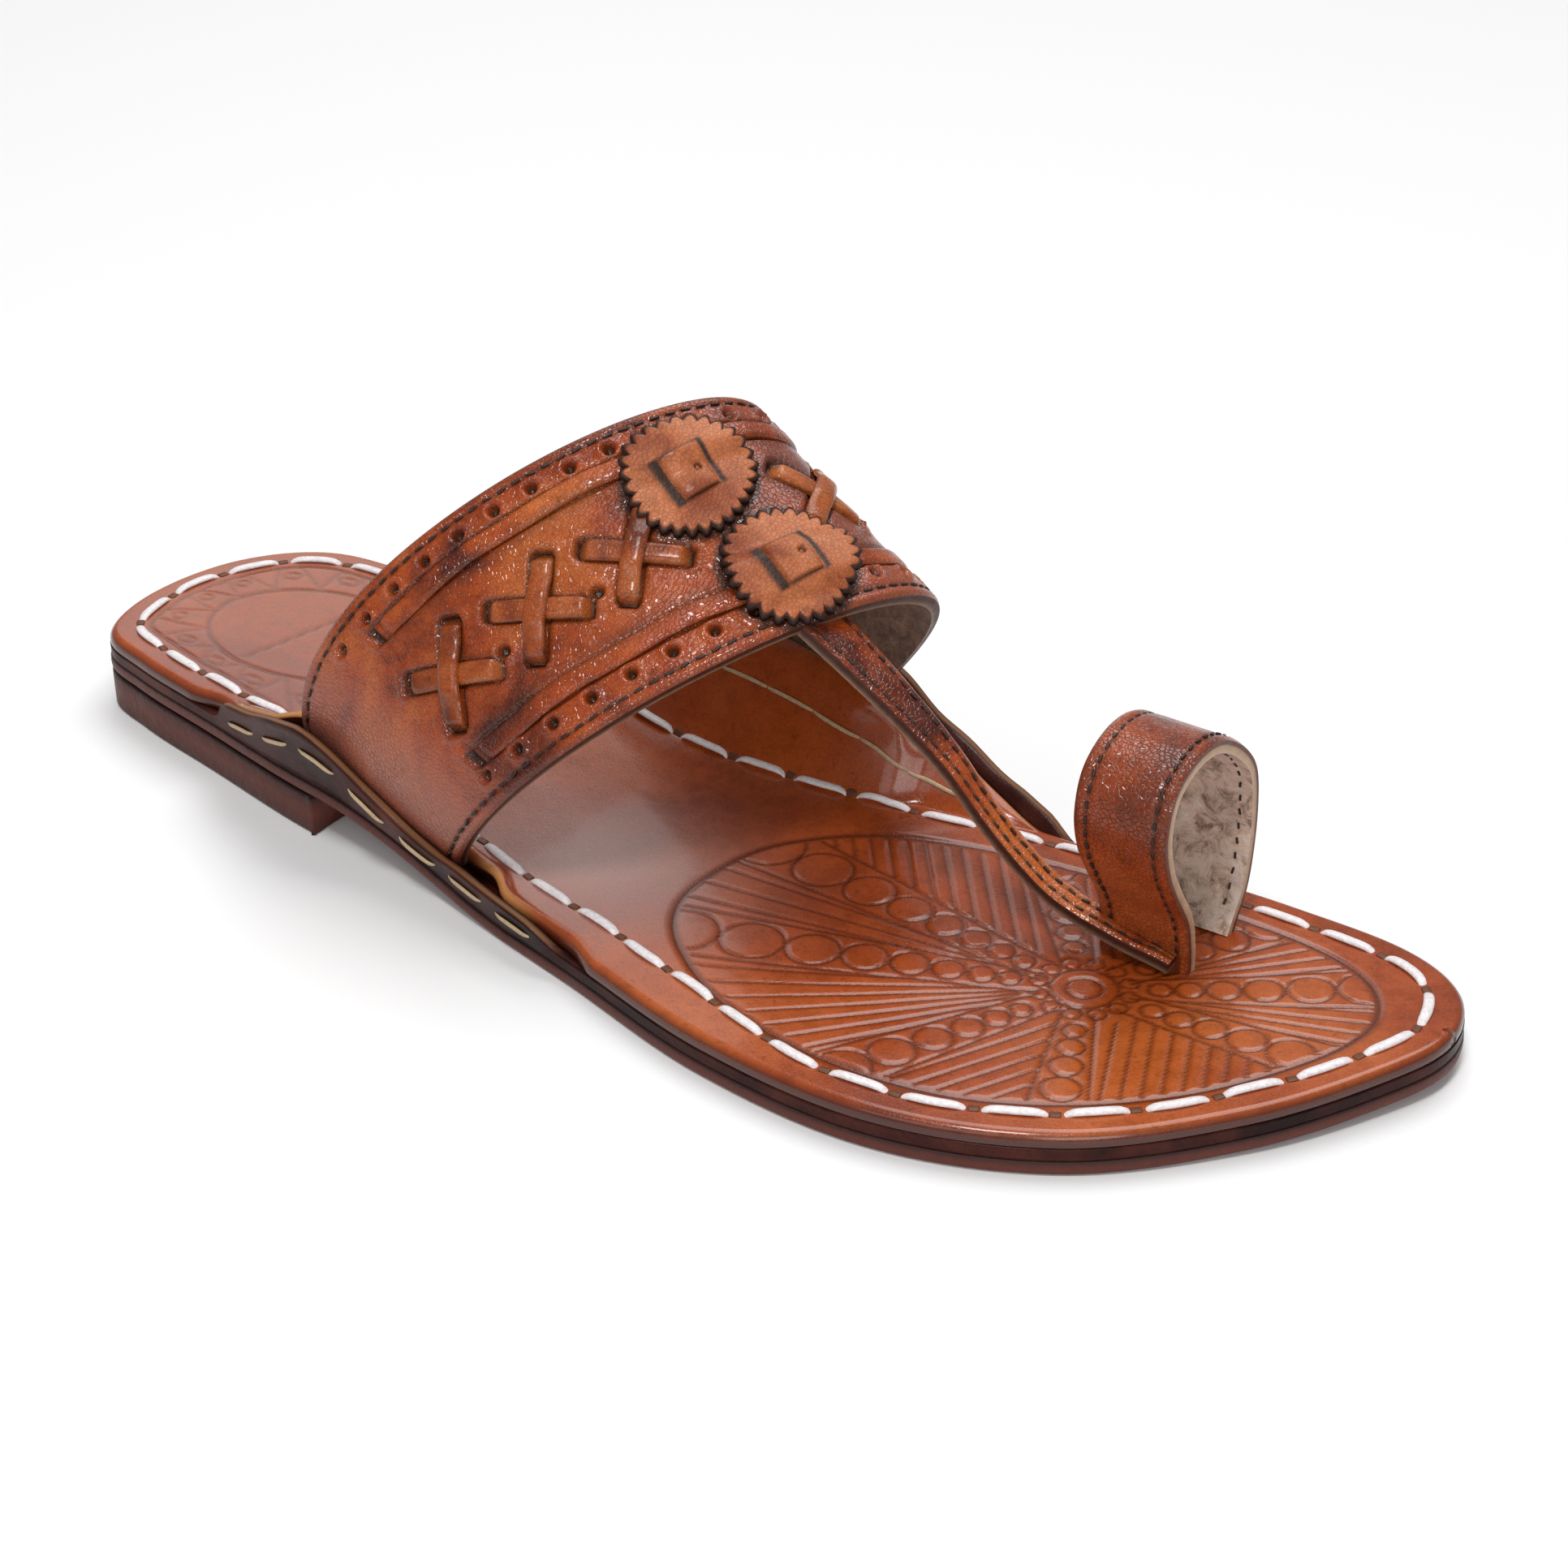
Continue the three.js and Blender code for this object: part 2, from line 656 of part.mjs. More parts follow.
// The origin is on the floor under the middle of the box round the sandal
const box = new THREE.Box3().setFromObject(sandal);
sandal.position.set(-(box.min.x + box.max.x) / 2, -(box.min.y + box.max.y) / 2, 0);

export default sandal;
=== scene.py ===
# Looks of the right kolhapuri sandal: leather, embossed footbed, woven trim, stitches, light and camera.
# Sizes are in millimetres here and become metres where a mesh is made.
import math
import bpy
import numpy as np
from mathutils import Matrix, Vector
from mathutils.bvhtree import BVHTree
from mathutils.kdtree import KDTree


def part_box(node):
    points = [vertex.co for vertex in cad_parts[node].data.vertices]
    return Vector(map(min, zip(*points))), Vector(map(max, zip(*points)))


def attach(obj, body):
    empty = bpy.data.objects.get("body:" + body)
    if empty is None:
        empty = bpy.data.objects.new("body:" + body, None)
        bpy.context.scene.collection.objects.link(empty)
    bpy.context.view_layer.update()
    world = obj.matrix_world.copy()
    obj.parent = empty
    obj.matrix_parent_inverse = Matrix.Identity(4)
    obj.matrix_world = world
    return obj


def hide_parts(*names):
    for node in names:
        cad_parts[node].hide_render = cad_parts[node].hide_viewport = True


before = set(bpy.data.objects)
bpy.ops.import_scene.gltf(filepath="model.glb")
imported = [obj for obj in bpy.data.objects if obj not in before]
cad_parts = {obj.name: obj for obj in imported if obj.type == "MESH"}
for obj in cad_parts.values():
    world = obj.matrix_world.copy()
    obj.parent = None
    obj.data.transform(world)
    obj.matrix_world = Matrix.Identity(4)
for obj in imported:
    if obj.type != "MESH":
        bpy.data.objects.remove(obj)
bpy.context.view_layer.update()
mm = 0.001

# Sizes of the sandal, as in the solids
soleLength = 271
ballWidth = 95
earHeight = 24
instepHeight = 80
clearance = 0.3
layers = {"outsole": 2.6, "midsole": 1.9, "insole": 2.4}
heelSize = {"height": 8, "length": 71, "shank": 52}
toeSize = {"spring": 2, "length": 42}
earSize = {"thickness": 1.8, "inner": 2.0, "drop": 1.2, "cove": 3.0}
bandThickness = 2.6
stripSize = {"width": 4.2, "thickness": 1.2}

midsoleBase = layers["outsole"] + clearance
midsoleTop = midsoleBase + layers["midsole"]
insoleBase = midsoleTop + clearance
footbedTop = insoleBase + layers["insole"]
pocketWidth = bandThickness + 2 * clearance

# Edges of the sole as shares of the ball width at equal turns from the heel tip to the toe tip
soleEdges = {
    -1: (0.125, -0.051, -0.114, -0.167, -0.235, -0.288, -0.377, -0.477, -0.493, -0.385, -0.167, 0.06, 0.212),
    1: (0.125, 0.338, 0.475, 0.496, 0.476, 0.438, 0.426, 0.456, 0.456, 0.462, 0.436, 0.349, 0.212),
}
# Top of each ear: share of the sole's length from its middle, and share of the ear height
earTops = {
    -1: {
        "along": (-0.346, -0.316, -0.278, -0.23, -0.205, -0.173, -0.147, -0.112, -0.082, -0.039, 0.001),
        "rise": (0, 0.14, 0.28, 0.42, 0.36, 0.2, 0.11, 0.05, 0.1, 0.07, 0),
    },
    1: {
        "along": (-0.306, -0.256, -0.195, -0.125, -0.064, -0.014, 0.049, 0.091, 0.131, 0.168, 0.203),
        "rise": (0, 0.22, 0.62, 0.94, 1, 0.94, 0.75, 0.5, 0.25, 0.08, 0),
    },
}
earLean = {-1: 0.45, 1: 0.42}
pockets = {-1: (-0.241, -0.086), 1: (-0.215, 0.067)}
pocketBlend = 0.03
# Edges of the band: feet along the sole, and handles as shares of length, ball width and instep height
bandEdges = {
    "front": {"feet": (-0.108, -0.016), "handles": ((-0.018, -0.554, 0.686), (0.261, 0.745, 1.08))},
    "rear": {"feet": (-0.231, -0.206), "handles": ((-0.284, -0.493, 0.808), (0.203, 0.795, 1.625))},
}


def smoothStep(t):
    s = np.clip(t, 0, 1)
    return s * s * (3 - 2 * s)


def mix(a, b, t):
    return a + (b - a) * t


# Share that is 1 at no distance and fades out over the width
def bell(away, width, power=2):
    return np.exp(-((away / width) ** power))


def unit(rows):
    return rows / np.linalg.norm(rows, axis=-1, keepdims=True)


def stepsOf(points):
    return np.linalg.norm(np.diff(points, axis=0), axis=1)


# Length from the first point to each point of a line
def wayAlong(points):
    return np.append(0, np.cumsum(stepsOf(points)))


# Points of a line at the given lengths along it
def readLine(at, way, line):
    return np.stack([np.interp(at, way, line[:, k]) for k in range(line.shape[1])], -1)


def treeOf(points):
    tree = KDTree(len(points))
    for i, point in enumerate(points):
        tree.insert(point, i)
    tree.balance()
    return tree


# Places of an outline laid down on the plane of zero height
def onPlane(points):
    return np.column_stack([points[:, :2], np.zeros(len(points))])


def outwardNormals(points):
    step = np.roll(points, -1, 0) - np.roll(points, 1, 0)
    return unit(np.stack([step[:, 1], -step[:, 0]], 1))


def smoothColumn(places, values, at):
    places, values = np.asarray(places, float), np.asarray(values, float)
    rank = np.arange(len(places))
    before, after = np.maximum(rank - 1, 0), np.minimum(rank + 1, len(places) - 1)
    slopes = (values[after] - values[before]) / (places[after] - places[before])
    inside = np.clip(at, places[0], places[-1])
    i = np.clip(np.searchsorted(places[1:], inside, side="left"), 0, len(places) - 2)
    span = places[i + 1] - places[i]
    t = (inside - places[i]) / span
    rise = values[i + 1] - values[i]
    a, b = slopes[i] * span - rise, rise - slopes[i + 1] * span
    return values[i] + t * rise + t * (1 - t) * (a * (1 - t) + b * t)


def edgeShare(side, turn):
    return smoothColumn(np.linspace(0, 1, 13), soleEdges[side], turn)


def edgeAcross(side, x):
    return ballWidth * edgeShare(side, np.arccos(np.clip(-2 * x / soleLength, -1, 1)) / math.pi)


# Height of the sole's underside: raised by the heel lift, down to the floor under the ball, up at the toe
def groundHeight(x):
    front = -soleLength / 2 + heelSize["length"]
    heel = heelSize["height"] * smoothStep((front + heelSize["shank"] - x) / heelSize["shank"])
    toe = np.maximum(0, (x - soleLength / 2 + toeSize["length"]) / toeSize["length"])
    return heel + toeSize["spring"] * toe * toe


# Share that is 1 between two places along the sole and fades out over the blend outside them
def stretch(x, start, end, blend):
    s = x / soleLength
    return smoothStep((s - start + blend) / blend) * smoothStep((end + blend - s) / blend)


def soleOutline(turns):
    t = np.concatenate([turns, turns[-2:0:-1]])
    side = np.where(np.arange(len(t)) < len(turns), -1, 1)
    share = np.where(side < 0, edgeShare(-1, t), edgeShare(1, t))
    points = np.stack([-soleLength / 2 * np.cos(math.pi * t), ballWidth * share], 1)
    return {"points": points, "normals": outwardNormals(points), "side": side}


def bySide(side, x, rule):
    return np.where(side < 0, rule(-1, x), rule(1, x))


def earRise(side, x):
    top = earTops[side]
    return np.maximum(0, earHeight * smoothColumn(top["along"], top["rise"], x / soleLength))


def outerEarRise(side, x):
    along = earTops[side]["along"]
    flap = stretch(x, along[0] + pocketBlend, along[-1] - pocketBlend, pocketBlend)
    wave = 0.35 * flap * np.sin(x / 5.1) + 0.25 * flap * np.sin(x / 2.3 + 1)
    return earRise(side, x) + flap * (footbedTop - midsoleTop) + wave * smoothStep(earRise(side, x) / 4)


def insoleInset(side, x):
    along = earTops[side]["along"]
    ear = stretch(x, along[0], along[-1], pocketBlend)
    pocket = stretch(x, pockets[side][0], pockets[side][1], pocketBlend)
    return clearance + earSize["thickness"] * ear + (pocketWidth - clearance) * pocket


def ring(outline, inset, height):
    x = outline["points"][:, 0] - outline["normals"][:, 0] * inset
    y = outline["points"][:, 1] - outline["normals"][:, 1] * inset
    return np.stack([x, y, groundHeight(x) + height], 1)


# The solids are centred on the origin across the sole, and the outline is not
fineTurns = np.linspace(0, 1, 241)
fineOutline = soleOutline(fineTurns)
shift = np.array([0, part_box("outsole")[0].y / mm - fineOutline["points"][:, 1].min(), 0])


def bezierEdge(name):
    rows = bandEdges[name]
    inset = earSize["thickness"] + pocketWidth / 2
    feet = []
    for side, along in zip((-1, 1), rows["feet"]):
        x = along * soleLength
        foot = float(groundHeight(x)) + midsoleTop + clearance
        feet.append((x, float(edgeAcross(side, x)) - side * inset, foot))
    handles = [(a * soleLength, c * ballWidth, u * instepHeight) for a, c, u in rows["handles"]]
    p = np.array([feet[0], handles[0], handles[1], feet[1]], float)
    t = np.linspace(0, 1, 1601)[:, None]
    points = p[0] * (1 - t) ** 3 + 3 * p[1] * t * (1 - t) ** 2 + 3 * p[2] * t * t * (1 - t) + p[3] * t**3
    slopes = unit(np.gradient(points, axis=0))
    length = stepsOf(points).sum()
    return {"points": points, "slopes": slopes, "share": wayAlong(points) / length, "length": length}


def readEdge(edge, around, column):
    return readLine(around, edge["share"], edge[column])


frontEdge = bezierEdge("front")
rearEdge = bezierEdge("rear")


# Point, outward normal, run and across direction at a place on the band's middle surface
def onBand(around, back, above=0.0):
    around, back, above = np.broadcast_arrays(*(np.asarray(v, float) for v in (around, back, above)))
    towardFront = back[..., None]
    front, rear = readEdge(frontEdge, around, "points"), readEdge(rearEdge, around, "points")
    runFront = readEdge(frontEdge, around, "slopes") * frontEdge["length"]
    runRear = readEdge(rearEdge, around, "slopes") * rearEdge["length"]
    run = mix(runRear, runFront, towardFront)
    across = front - rear
    normal = unit(np.cross(across, run))
    return mix(rear, front, towardFront) + normal * above[..., None], normal, run, across


# Band coordinates of a point dx round the band and dy towards its front from a spot, in millimetres
def bandPlace(spot, dx, dy):
    run, across = onBand(spot[0], spot[1])[2:]
    shear = float(run @ across / np.linalg.norm(across))
    around = spot[0] + dx / np.linalg.norm(run)
    return around, spot[1] + (dy - dx * shear / np.linalg.norm(run)) / np.linalg.norm(across)


# One mesh object from points in millimetres, with a number on each point for every name in values
def makePiece(name, points, faces, materials, faceSlots=None, values=None):
    mesh = bpy.data.meshes.new(name)
    mesh.from_pydata(((np.asarray(points) + shift) * mm).tolist(), [], [list(f) for f in faces])
    for material in materials:
        mesh.materials.append(material)
    if faceSlots is not None:
        mesh.polygons.foreach_set("material_index", np.asarray(faceSlots, np.int32))
    mesh.polygons.foreach_set("use_smooth", np.full(len(mesh.polygons), True))
    for key, column in (values or {}).items():
        mesh.attributes.new(key, "FLOAT", "POINT").data.foreach_set("value", np.asarray(column, np.float32))
    mesh.validate()
    piece = bpy.data.objects.new(name, mesh)
    bpy.context.collection.objects.link(piece)
    return piece


def gridFaces(rows, columns, start=0, wrap=False, flip=False):
    r, c = np.meshgrid(np.arange(rows - 1), np.arange(columns if wrap else columns - 1), indexing="ij")
    n = (c + 1) % columns
    quads = np.stack([r * columns + c, r * columns + n, (r + 1) * columns + n, (r + 1) * columns + c], -1)
    quads = quads.reshape(-1, 4) + start
    return quads[:, ::-1] if flip else quads


# Closed body through rings of equal size, with both ends closed by strips across
def loftPiece(name, rings, materials, values=None):
    size = len(rings[0])
    faces = gridFaces(len(rings), size, wrap=True).tolist()
    top = (len(rings) - 1) * size
    for i in range(size // 2):
        far, near = (size - i) % size, size - i - 1
        faces.append(list(dict.fromkeys([i, far, near, i + 1])))
        faces.append(list(dict.fromkeys([top + i, top + i + 1, top + near, top + far])))
    return makePiece(name, np.concatenate(rings), faces, materials, None, values)


def ridden(piece, slot, *nodes):
    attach(piece, "root")
    if nodes:
        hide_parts(*nodes)
    return piece


# Camera: stands where the photograph was taken from, solved from the sole's outline
view = {"place": (281.7, -387.7, 297.4), "aim": (-24.8, 68.7, -20.2), "lens": 74.0, "sensor": 36,
        "near": 10, "far": 20000}
camera = bpy.data.objects.new("camera", bpy.data.cameras.new("camera"))
bpy.context.collection.objects.link(camera)
camera.location = (Vector(view["place"]) + Vector(shift)) * mm
camera.rotation_mode = "QUATERNION"
camera.rotation_quaternion = (Vector(view["aim"]) - Vector(view["place"])).to_track_quat("-Z", "Y")
camera.data.lens = view["lens"]
camera.data.sensor_width = view["sensor"]
camera.data.clip_start = view["near"] * mm
camera.data.clip_end = view["far"] * mm
bpy.context.scene.camera = camera
bpy.context.scene.view_settings.view_transform = "Standard"
print("camera placed")


# A node of a material or a node group, each input linked to a socket or set to a value
def addNode(tree, kind, inputs=None):
    node = tree.nodes.new(kind)
    for key, value in (inputs or {}).items():
        if hasattr(value, "is_output"):
            tree.links.new(value, node.inputs[key])
        else:
            node.inputs[key].default_value = value
    return node


def newMaterial(name):
    material = bpy.data.materials.new(name)
    material.use_nodes = True
    tree = material.node_tree
    place = addNode(tree, "ShaderNodeTexCoord").outputs["Object"]
    return material, tree, tree.nodes["Principled BSDF"], place


def noiseNode(tree, place, scale, detail=3.0, rough=0.55, distortion=0.0):
    inputs = {"Vector": place, "Scale": scale, "Detail": detail, "Roughness": rough, "Distortion": distortion}
    return addNode(tree, "ShaderNodeTexNoise", inputs).outputs["Fac"]


def rampNode(tree, value, stops):
    node = addNode(tree, "ShaderNodeValToRGB", {"Fac": value})
    ramp = node.color_ramp
    while len(ramp.elements) < len(stops):
        ramp.elements.new(0.5)
    for element, (position, color) in zip(ramp.elements, stops):
        element.position = position
        element.color = (*color, 1)
    return node.outputs["Color"]


def mixNode(tree, amount, first, second, blend="MIX"):
    node = addNode(tree, "ShaderNodeMix")
    node.data_type = "RGBA"
    node.blend_type = blend
    for key, value in (("Factor", amount), ("A", first), ("B", second)):
        socket = next(s for s in node.inputs if s.enabled and s.name == key)
        if hasattr(value, "is_output"):
            tree.links.new(value, socket)
        elif key == "Factor":
            socket.default_value = value
        else:
            socket.default_value = (*value, 1)
    return next(s for s in node.outputs if s.enabled)


def mathNode(tree, operation, first, second):
    node = addNode(tree, "ShaderNodeMath", {0: first, 1: second})
    node.operation = operation
    return node.outputs[0]


def attributeNode(tree, name):
    node = addNode(tree, "ShaderNodeAttribute")
    node.attribute_name = name
    return node.outputs["Fac"]


def bumpNode(tree, height, strength, distance, under=None):
    inputs = {"Height": height, "Strength": strength, "Distance": distance}
    if under:
        inputs["Normal"] = under
    return addNode(tree, "ShaderNodeBump", inputs).outputs["Normal"]


def gray(value):
    return (value, value, value)


def grayNode(tree, value, *stops):
    return rampNode(tree, value, [(position, gray(level)) for position, level in stops])


# Waxed leather: patches of three shades, pores, fine creases and a rim of another colour. The mesh's
# press-shade mark darkens it with painted shade in grooves, holes and slits, and the footbed also in its
# pressed lines; its wear-sheen mark pales it with patches of wear and painted sheen.
# The noise sizes are counts per metre, the shares are strengths from 0 to 1, the depths are in metres.
hide = {"mottle": 260, "mottleShare": 0.75, "speck": 900, "speckShare": 0.6, "pebble": 1250,
        "pebbleShare": 0.45, "crease": 130, "creaseShare": 0.3, "poreDepth": 0.00012, "swell": 55,
        "swellShare": 0.28, "swellDepth": 0.0007, "coatRough": 0.12}


def leather(name, colors, rough=(0.28, 0.5), pores=0.5, coat=0.25, pressShadeColor=(0.03, 0.012, 0.006),
            edgeColor=None, wearSheenColor=None, rawColor=None, patch=28, shine=0.25, glints=False,
            spread=(0.36, 0.5, 0.68)):
    material, tree, shader, place = newMaterial(name)
    color = rampNode(tree, noiseNode(tree, place, patch, 4, 0.6, 0.6), tuple(zip(spread, colors)))
    mottle = noiseNode(tree, place, hide["mottle"], 5, 0.7)
    shade = grayNode(tree, mottle, (0.32, 0.74), (0.55, 1.0), (0.8, 1.14))
    color = mixNode(tree, hide["mottleShare"], color, shade, "MULTIPLY")
    specks = grayNode(tree, noiseNode(tree, place, hide["speck"], 2, 0.5), (0.28, 0.55), (0.4, 1.0))
    color = mixNode(tree, hide["speckShare"], color, specks, "MULTIPLY")
    cells = addNode(tree, "ShaderNodeTexVoronoi", {"Vector": place, "Scale": hide["pebble"]})
    cells.feature = "DISTANCE_TO_EDGE"
    pebble = grayNode(tree, cells.outputs["Distance"], (0.0, 0.0), (0.16, 1.0))
    paleCells = mixNode(tree, hide["pebbleShare"], gray(1.0), pebble)
    color = mixNode(tree, pores, color, paleCells, "MULTIPLY")
    for mark, tint in (("wearSheen", wearSheenColor), ("rim", edgeColor), ("raw", rawColor), ("pressShade", pressShadeColor)):
        if tint:
            color = mixNode(tree, attributeNode(tree, mark), color, tint)
    crease = noiseNode(tree, place, hide["crease"], 6, 0.65, 1.2)
    height = mixNode(tree, hide["creaseShare"], pebble, crease)
    swell = noiseNode(tree, place, hide["swell"], 3, 0.5)
    soft = bumpNode(tree, swell, hide["swellShare"], hide["swellDepth"])
    fine = bumpNode(tree, height, pores, hide["poreDepth"], soft)
    shader.inputs["Coat Weight"].default_value = coat
    shader.inputs["Coat Roughness"].default_value = hide["coatRough"]
    shader.inputs["Specular IOR Level"].default_value = shine
    roughness = grayNode(tree, mottle, (0.3, rough[0]), (0.75, rough[1]))
    tree.links.new(color, shader.inputs["Base Color"])
    tree.links.new(roughness, shader.inputs["Roughness"])
    tree.links.new(fine, shader.inputs["Normal"])
    tree.links.new(fine if glints else soft, shader.inputs["Coat Normal"])
    return material


# Suede or a cut edge: fibrous, matt, with light and dark tufts
def rawLeather(name, colors, scale=420, bump=0.0005, rough=0.85, sheen=0.3, pressShadeTint=(0.02, 0.01, 0.006)):
    material, tree, shader, place = newMaterial(name)
    fibre = noiseNode(tree, place, scale, 8, 0.75, 0.5)
    tuft = noiseNode(tree, place, scale * 0.22, 3, 0.6)
    color = rampNode(tree, fibre, ((0.36, colors[0]), (0.5, colors[1]), (0.66, colors[2])))
    color = mixNode(tree, 0.8, color, grayNode(tree, tuft, (0.34, 0.6), (0.5, 1.05)), "MULTIPLY")
    # Darker by the press-shade mark: painted shade in grooves and seams
    color = mixNode(tree, attributeNode(tree, "pressShade"), color, pressShadeTint)
    shader.inputs["Roughness"].default_value = rough
    shader.inputs["Sheen Weight"].default_value = sheen
    tree.links.new(color, shader.inputs["Base Color"])
    tree.links.new(bumpNode(tree, fibre, 0.8, bump), shader.inputs["Normal"])
    return material


# Burnished cut edge, its colours in layers by the level from 0 to 1 that the mesh carries
def stackEdge(name, bands, wobble=0.12, shine=0.3):
    material, tree, shader, place = newMaterial(name)
    stir = noiseNode(tree, place, 70, 5, 0.7)
    shifted = mathNode(tree, "MULTIPLY", mathNode(tree, "SUBTRACT", stir, 0.5), wobble)
    color = rampNode(tree, mathNode(tree, "ADD", attributeNode(tree, "level"), shifted), bands)
    fibre = noiseNode(tree, place, 500, 6, 0.75)
    shade = grayNode(tree, fibre, (0.3, 0.55), (0.6, 1.05), (0.8, 1.3))
    color = mixNode(tree, 0.7, color, shade, "MULTIPLY")
    height = mathNode(tree, "ADD", fibre, mathNode(tree, "MULTIPLY", stir, 2.0))
    shader.inputs["Specular IOR Level"].default_value = shine
    tree.links.new(color, shader.inputs["Base Color"])
    tree.links.new(grayNode(tree, fibre, (0.3, 0.32), (0.7, 0.6)), shader.inputs["Roughness"])
    tree.links.new(bumpNode(tree, height, 0.6, 0.0005), shader.inputs["Normal"])
    return material


def threadMaterial(name, color, rough):
    material, tree, shader, place = newMaterial(name)
    strand = noiseNode(tree, place, 1500, 3, 0.6)
    tone = rampNode(tree, strand, ((0.3, tuple(0.75 * c for c in color)), (0.65, color)))
    shader.inputs["Roughness"].default_value = rough
    tree.links.new(tone, shader.inputs["Base Color"])
    tree.links.new(bumpNode(tree, strand, 0.5, 0.0002), shader.inputs["Normal"])
    return material


# Emboss of the footbed: chains of rings in rays from a double ring, and fans of lines between them
emboss = {"centre": (78.9, 1.7), "depth": 0.3, "line": 0.33, "outline": 0.75, "clear": 0.9, "rayHalf": 2.1,
          "rayStart": 7, "rayMargin": 0.3, "firstRing": 12.3, "lastRing": 75, "ringSize": 2.4,
          "growth": 0.079, "ringWall": 0.25, "dome": 0.1225, "doubleRing": (2.9, 5.6), "beads": 12,
          "beadRing": 7.6, "beadSize": 1.5, "fanPitch": 4.6, "hatchPitch": 3.1, "hatchStart": 10.5,
          "hatchShare": 0.9}
# Degrees of the rays, and how the fan after each ray is hatched
rays = (199.0, 243.6, 292.0, 361.3, 391.7, 423.0, 487.0, 532.6)
fans = ((0, "radial"), (1, "first"), (2, "first"), (3, "radial"), (4, "radial"), (5, "second"), (6, "first"),
        (7, "radial"))
motifEdge = ((8.3, -8.8), (9.6, 5.2), (15.5, 15.5), (27, 24.5), (45, 30), (68, 33), (90, 34), (106, 32.5),
             (117, 27.5), (122.5, 19), (122, 9.5), (117, -1.5), (108.5, -14), (98, -24.5), (86, -32.5),
             (74.8, -37), (62, -39), (47, -38.3), (31, -33.8), (19, -26.5), (11.5, -18.5))


# Smooth closed line through points
def closedCurve(points, count=40):
    p = np.asarray(points, float)
    t = np.linspace(0, 1, count, endpoint=False)[:, None]
    rows = []
    for i in range(len(p)):
        a, b, c, d = (p[(i + k) % len(p)] for k in (-1, 0, 1, 2))
        square, cube = 2 * a - 5 * b + 4 * c - d, 3 * b - 3 * c + d - a
        rows.append(0.5 * (2 * b + (c - a) * t + square * t**2 + cube * t**3))
    return np.concatenate(rows)


def insideCurve(x, y, curve):
    inside = np.zeros(x.shape, bool)
    for a, b in zip(curve, np.roll(curve, -1, 0)):
        crossing = (a[1] > y) != (b[1] > y)
        with np.errstate(divide="ignore", invalid="ignore"):
            inside ^= crossing & (x < (b[0] - a[0]) * (y - a[1]) / (b[1] - a[1]) + a[0])
    return inside


def curveDistance(x, y, curve):
    tree = treeOf(onPlane(curve))
    return np.array([tree.find((a, b, 0))[2] for a, b in zip(x, y)])


def segmentDistance(x, y, a, b):
    ax, ay = a
    dx, dy = b[0] - ax, b[1] - ay
    t = np.clip(((x - ax) * dx + (y - ay) * dy) / (dx * dx + dy * dy), 0, 1)
    return np.hypot(x - ax - t * dx, y - ay - t * dy)


# How far places lie along a ray and off it
def rayPlace(dx, dy, turn):
    along = dx * math.cos(turn) + dy * math.sin(turn)
    return along, np.abs(-dx * math.sin(turn) + dy * math.cos(turn))


# How deep each place of the forefoot is pressed, 0 to 1, and how far the rings' middles stand up, 0 to 1
def forefootPress(x, y):
    line, growth = emboss["line"], emboss["growth"]
    edge = closedCurve(motifEdge)
    away = curveDistance(x, y, edge)
    pressShade = bell(away, emboss["outline"])
    raised = np.zeros(x.shape)
    field = insideCurve(x, y, edge[::4]) & (away > emboss["clear"])
    dx, dy = x[field] - emboss["centre"][0], y[field] - emboss["centre"][1]
    radius, angle = np.hypot(dx, dy), np.degrees(np.arctan2(dy, dx)) % 360
    marks, dome, hatch = np.zeros((3, len(dx)))
    onRay = np.zeros(len(dx), bool)
    for ray in rays:
        turn = math.radians(ray)
        along, off = rayPlace(dx, dy, turn)
        half = emboss["rayHalf"] + growth * along
        ahead = along > emboss["rayStart"]
        marks = np.maximum(marks, np.where(ahead, bell(off - half, line), 0))
        onRay |= ahead & (off < half + emboss["rayMargin"])
        reach = emboss["firstRing"]
        while reach < emboss["lastRing"]:
            size = emboss["ringSize"] / 2 + growth * reach
            far = np.hypot(dx - reach * math.cos(turn), dy - reach * math.sin(turn))
            marks = np.maximum(marks, bell(far - size + emboss["ringWall"], line))
            dome = np.maximum(dome, np.clip(1 - (far / size) ** 2, 0, 1))
            reach = ((1 + growth) * reach + emboss["ringSize"]) / (1 - growth)
    for size in emboss["doubleRing"]:
        marks = np.maximum(marks, bell(radius - size, line))
    for k in range(emboss["beads"]):
        turn = 2 * math.pi * (k + 0.5) / emboss["beads"]
        far = np.hypot(dx - emboss["beadRing"] * math.cos(turn), dy - emboss["beadRing"] * math.sin(turn))
        marks = np.maximum(marks, bell(far - emboss["beadSize"], line * 0.8))
    for first, style in fans:
        start, end = rays[first], rays[(first + 1) % len(rays)] + (360 if first == len(rays) - 1 else 0)
        sector = ((angle - start) % 360) < (end - start)
        if style == "radial":
            count = max(2, round((end - start) / emboss["fanPitch"]))
            phase = ((angle - start) % 360) / (end - start) * count
            gap = np.abs(phase - np.round(phase)) / count * np.radians(end - start) * radius
        else:
            off = rayPlace(dx, dy, math.radians(start if style == "first" else end))[1] / emboss["hatchPitch"]
            gap = np.abs(off - np.round(off)) * emboss["hatchPitch"]
        hatched = sector & ~onRay & (radius > emboss["hatchStart"])
        hatch = np.maximum(hatch, np.where(hatched, bell(gap, line), 0))
    pressShade[field] = np.maximum(pressShade[field], np.maximum(marks, emboss["hatchShare"] * hatch))
    raised[field] = dome
    return pressShade, raised


heelMotif = {"centre": (-96.5, 15.3), "radii": (22.5, 16.6), "marks": 15, "line": 0.38, "oval": 0.5,
             "inset": 8.2, "insetLine": 0.45, "front": -68, "wedge": 0.34, "arc": 1.25, "arcAt": 0.62,
             "bar": ((-101.2, 0.6), (-96.6, 24)), "share": 0.8}


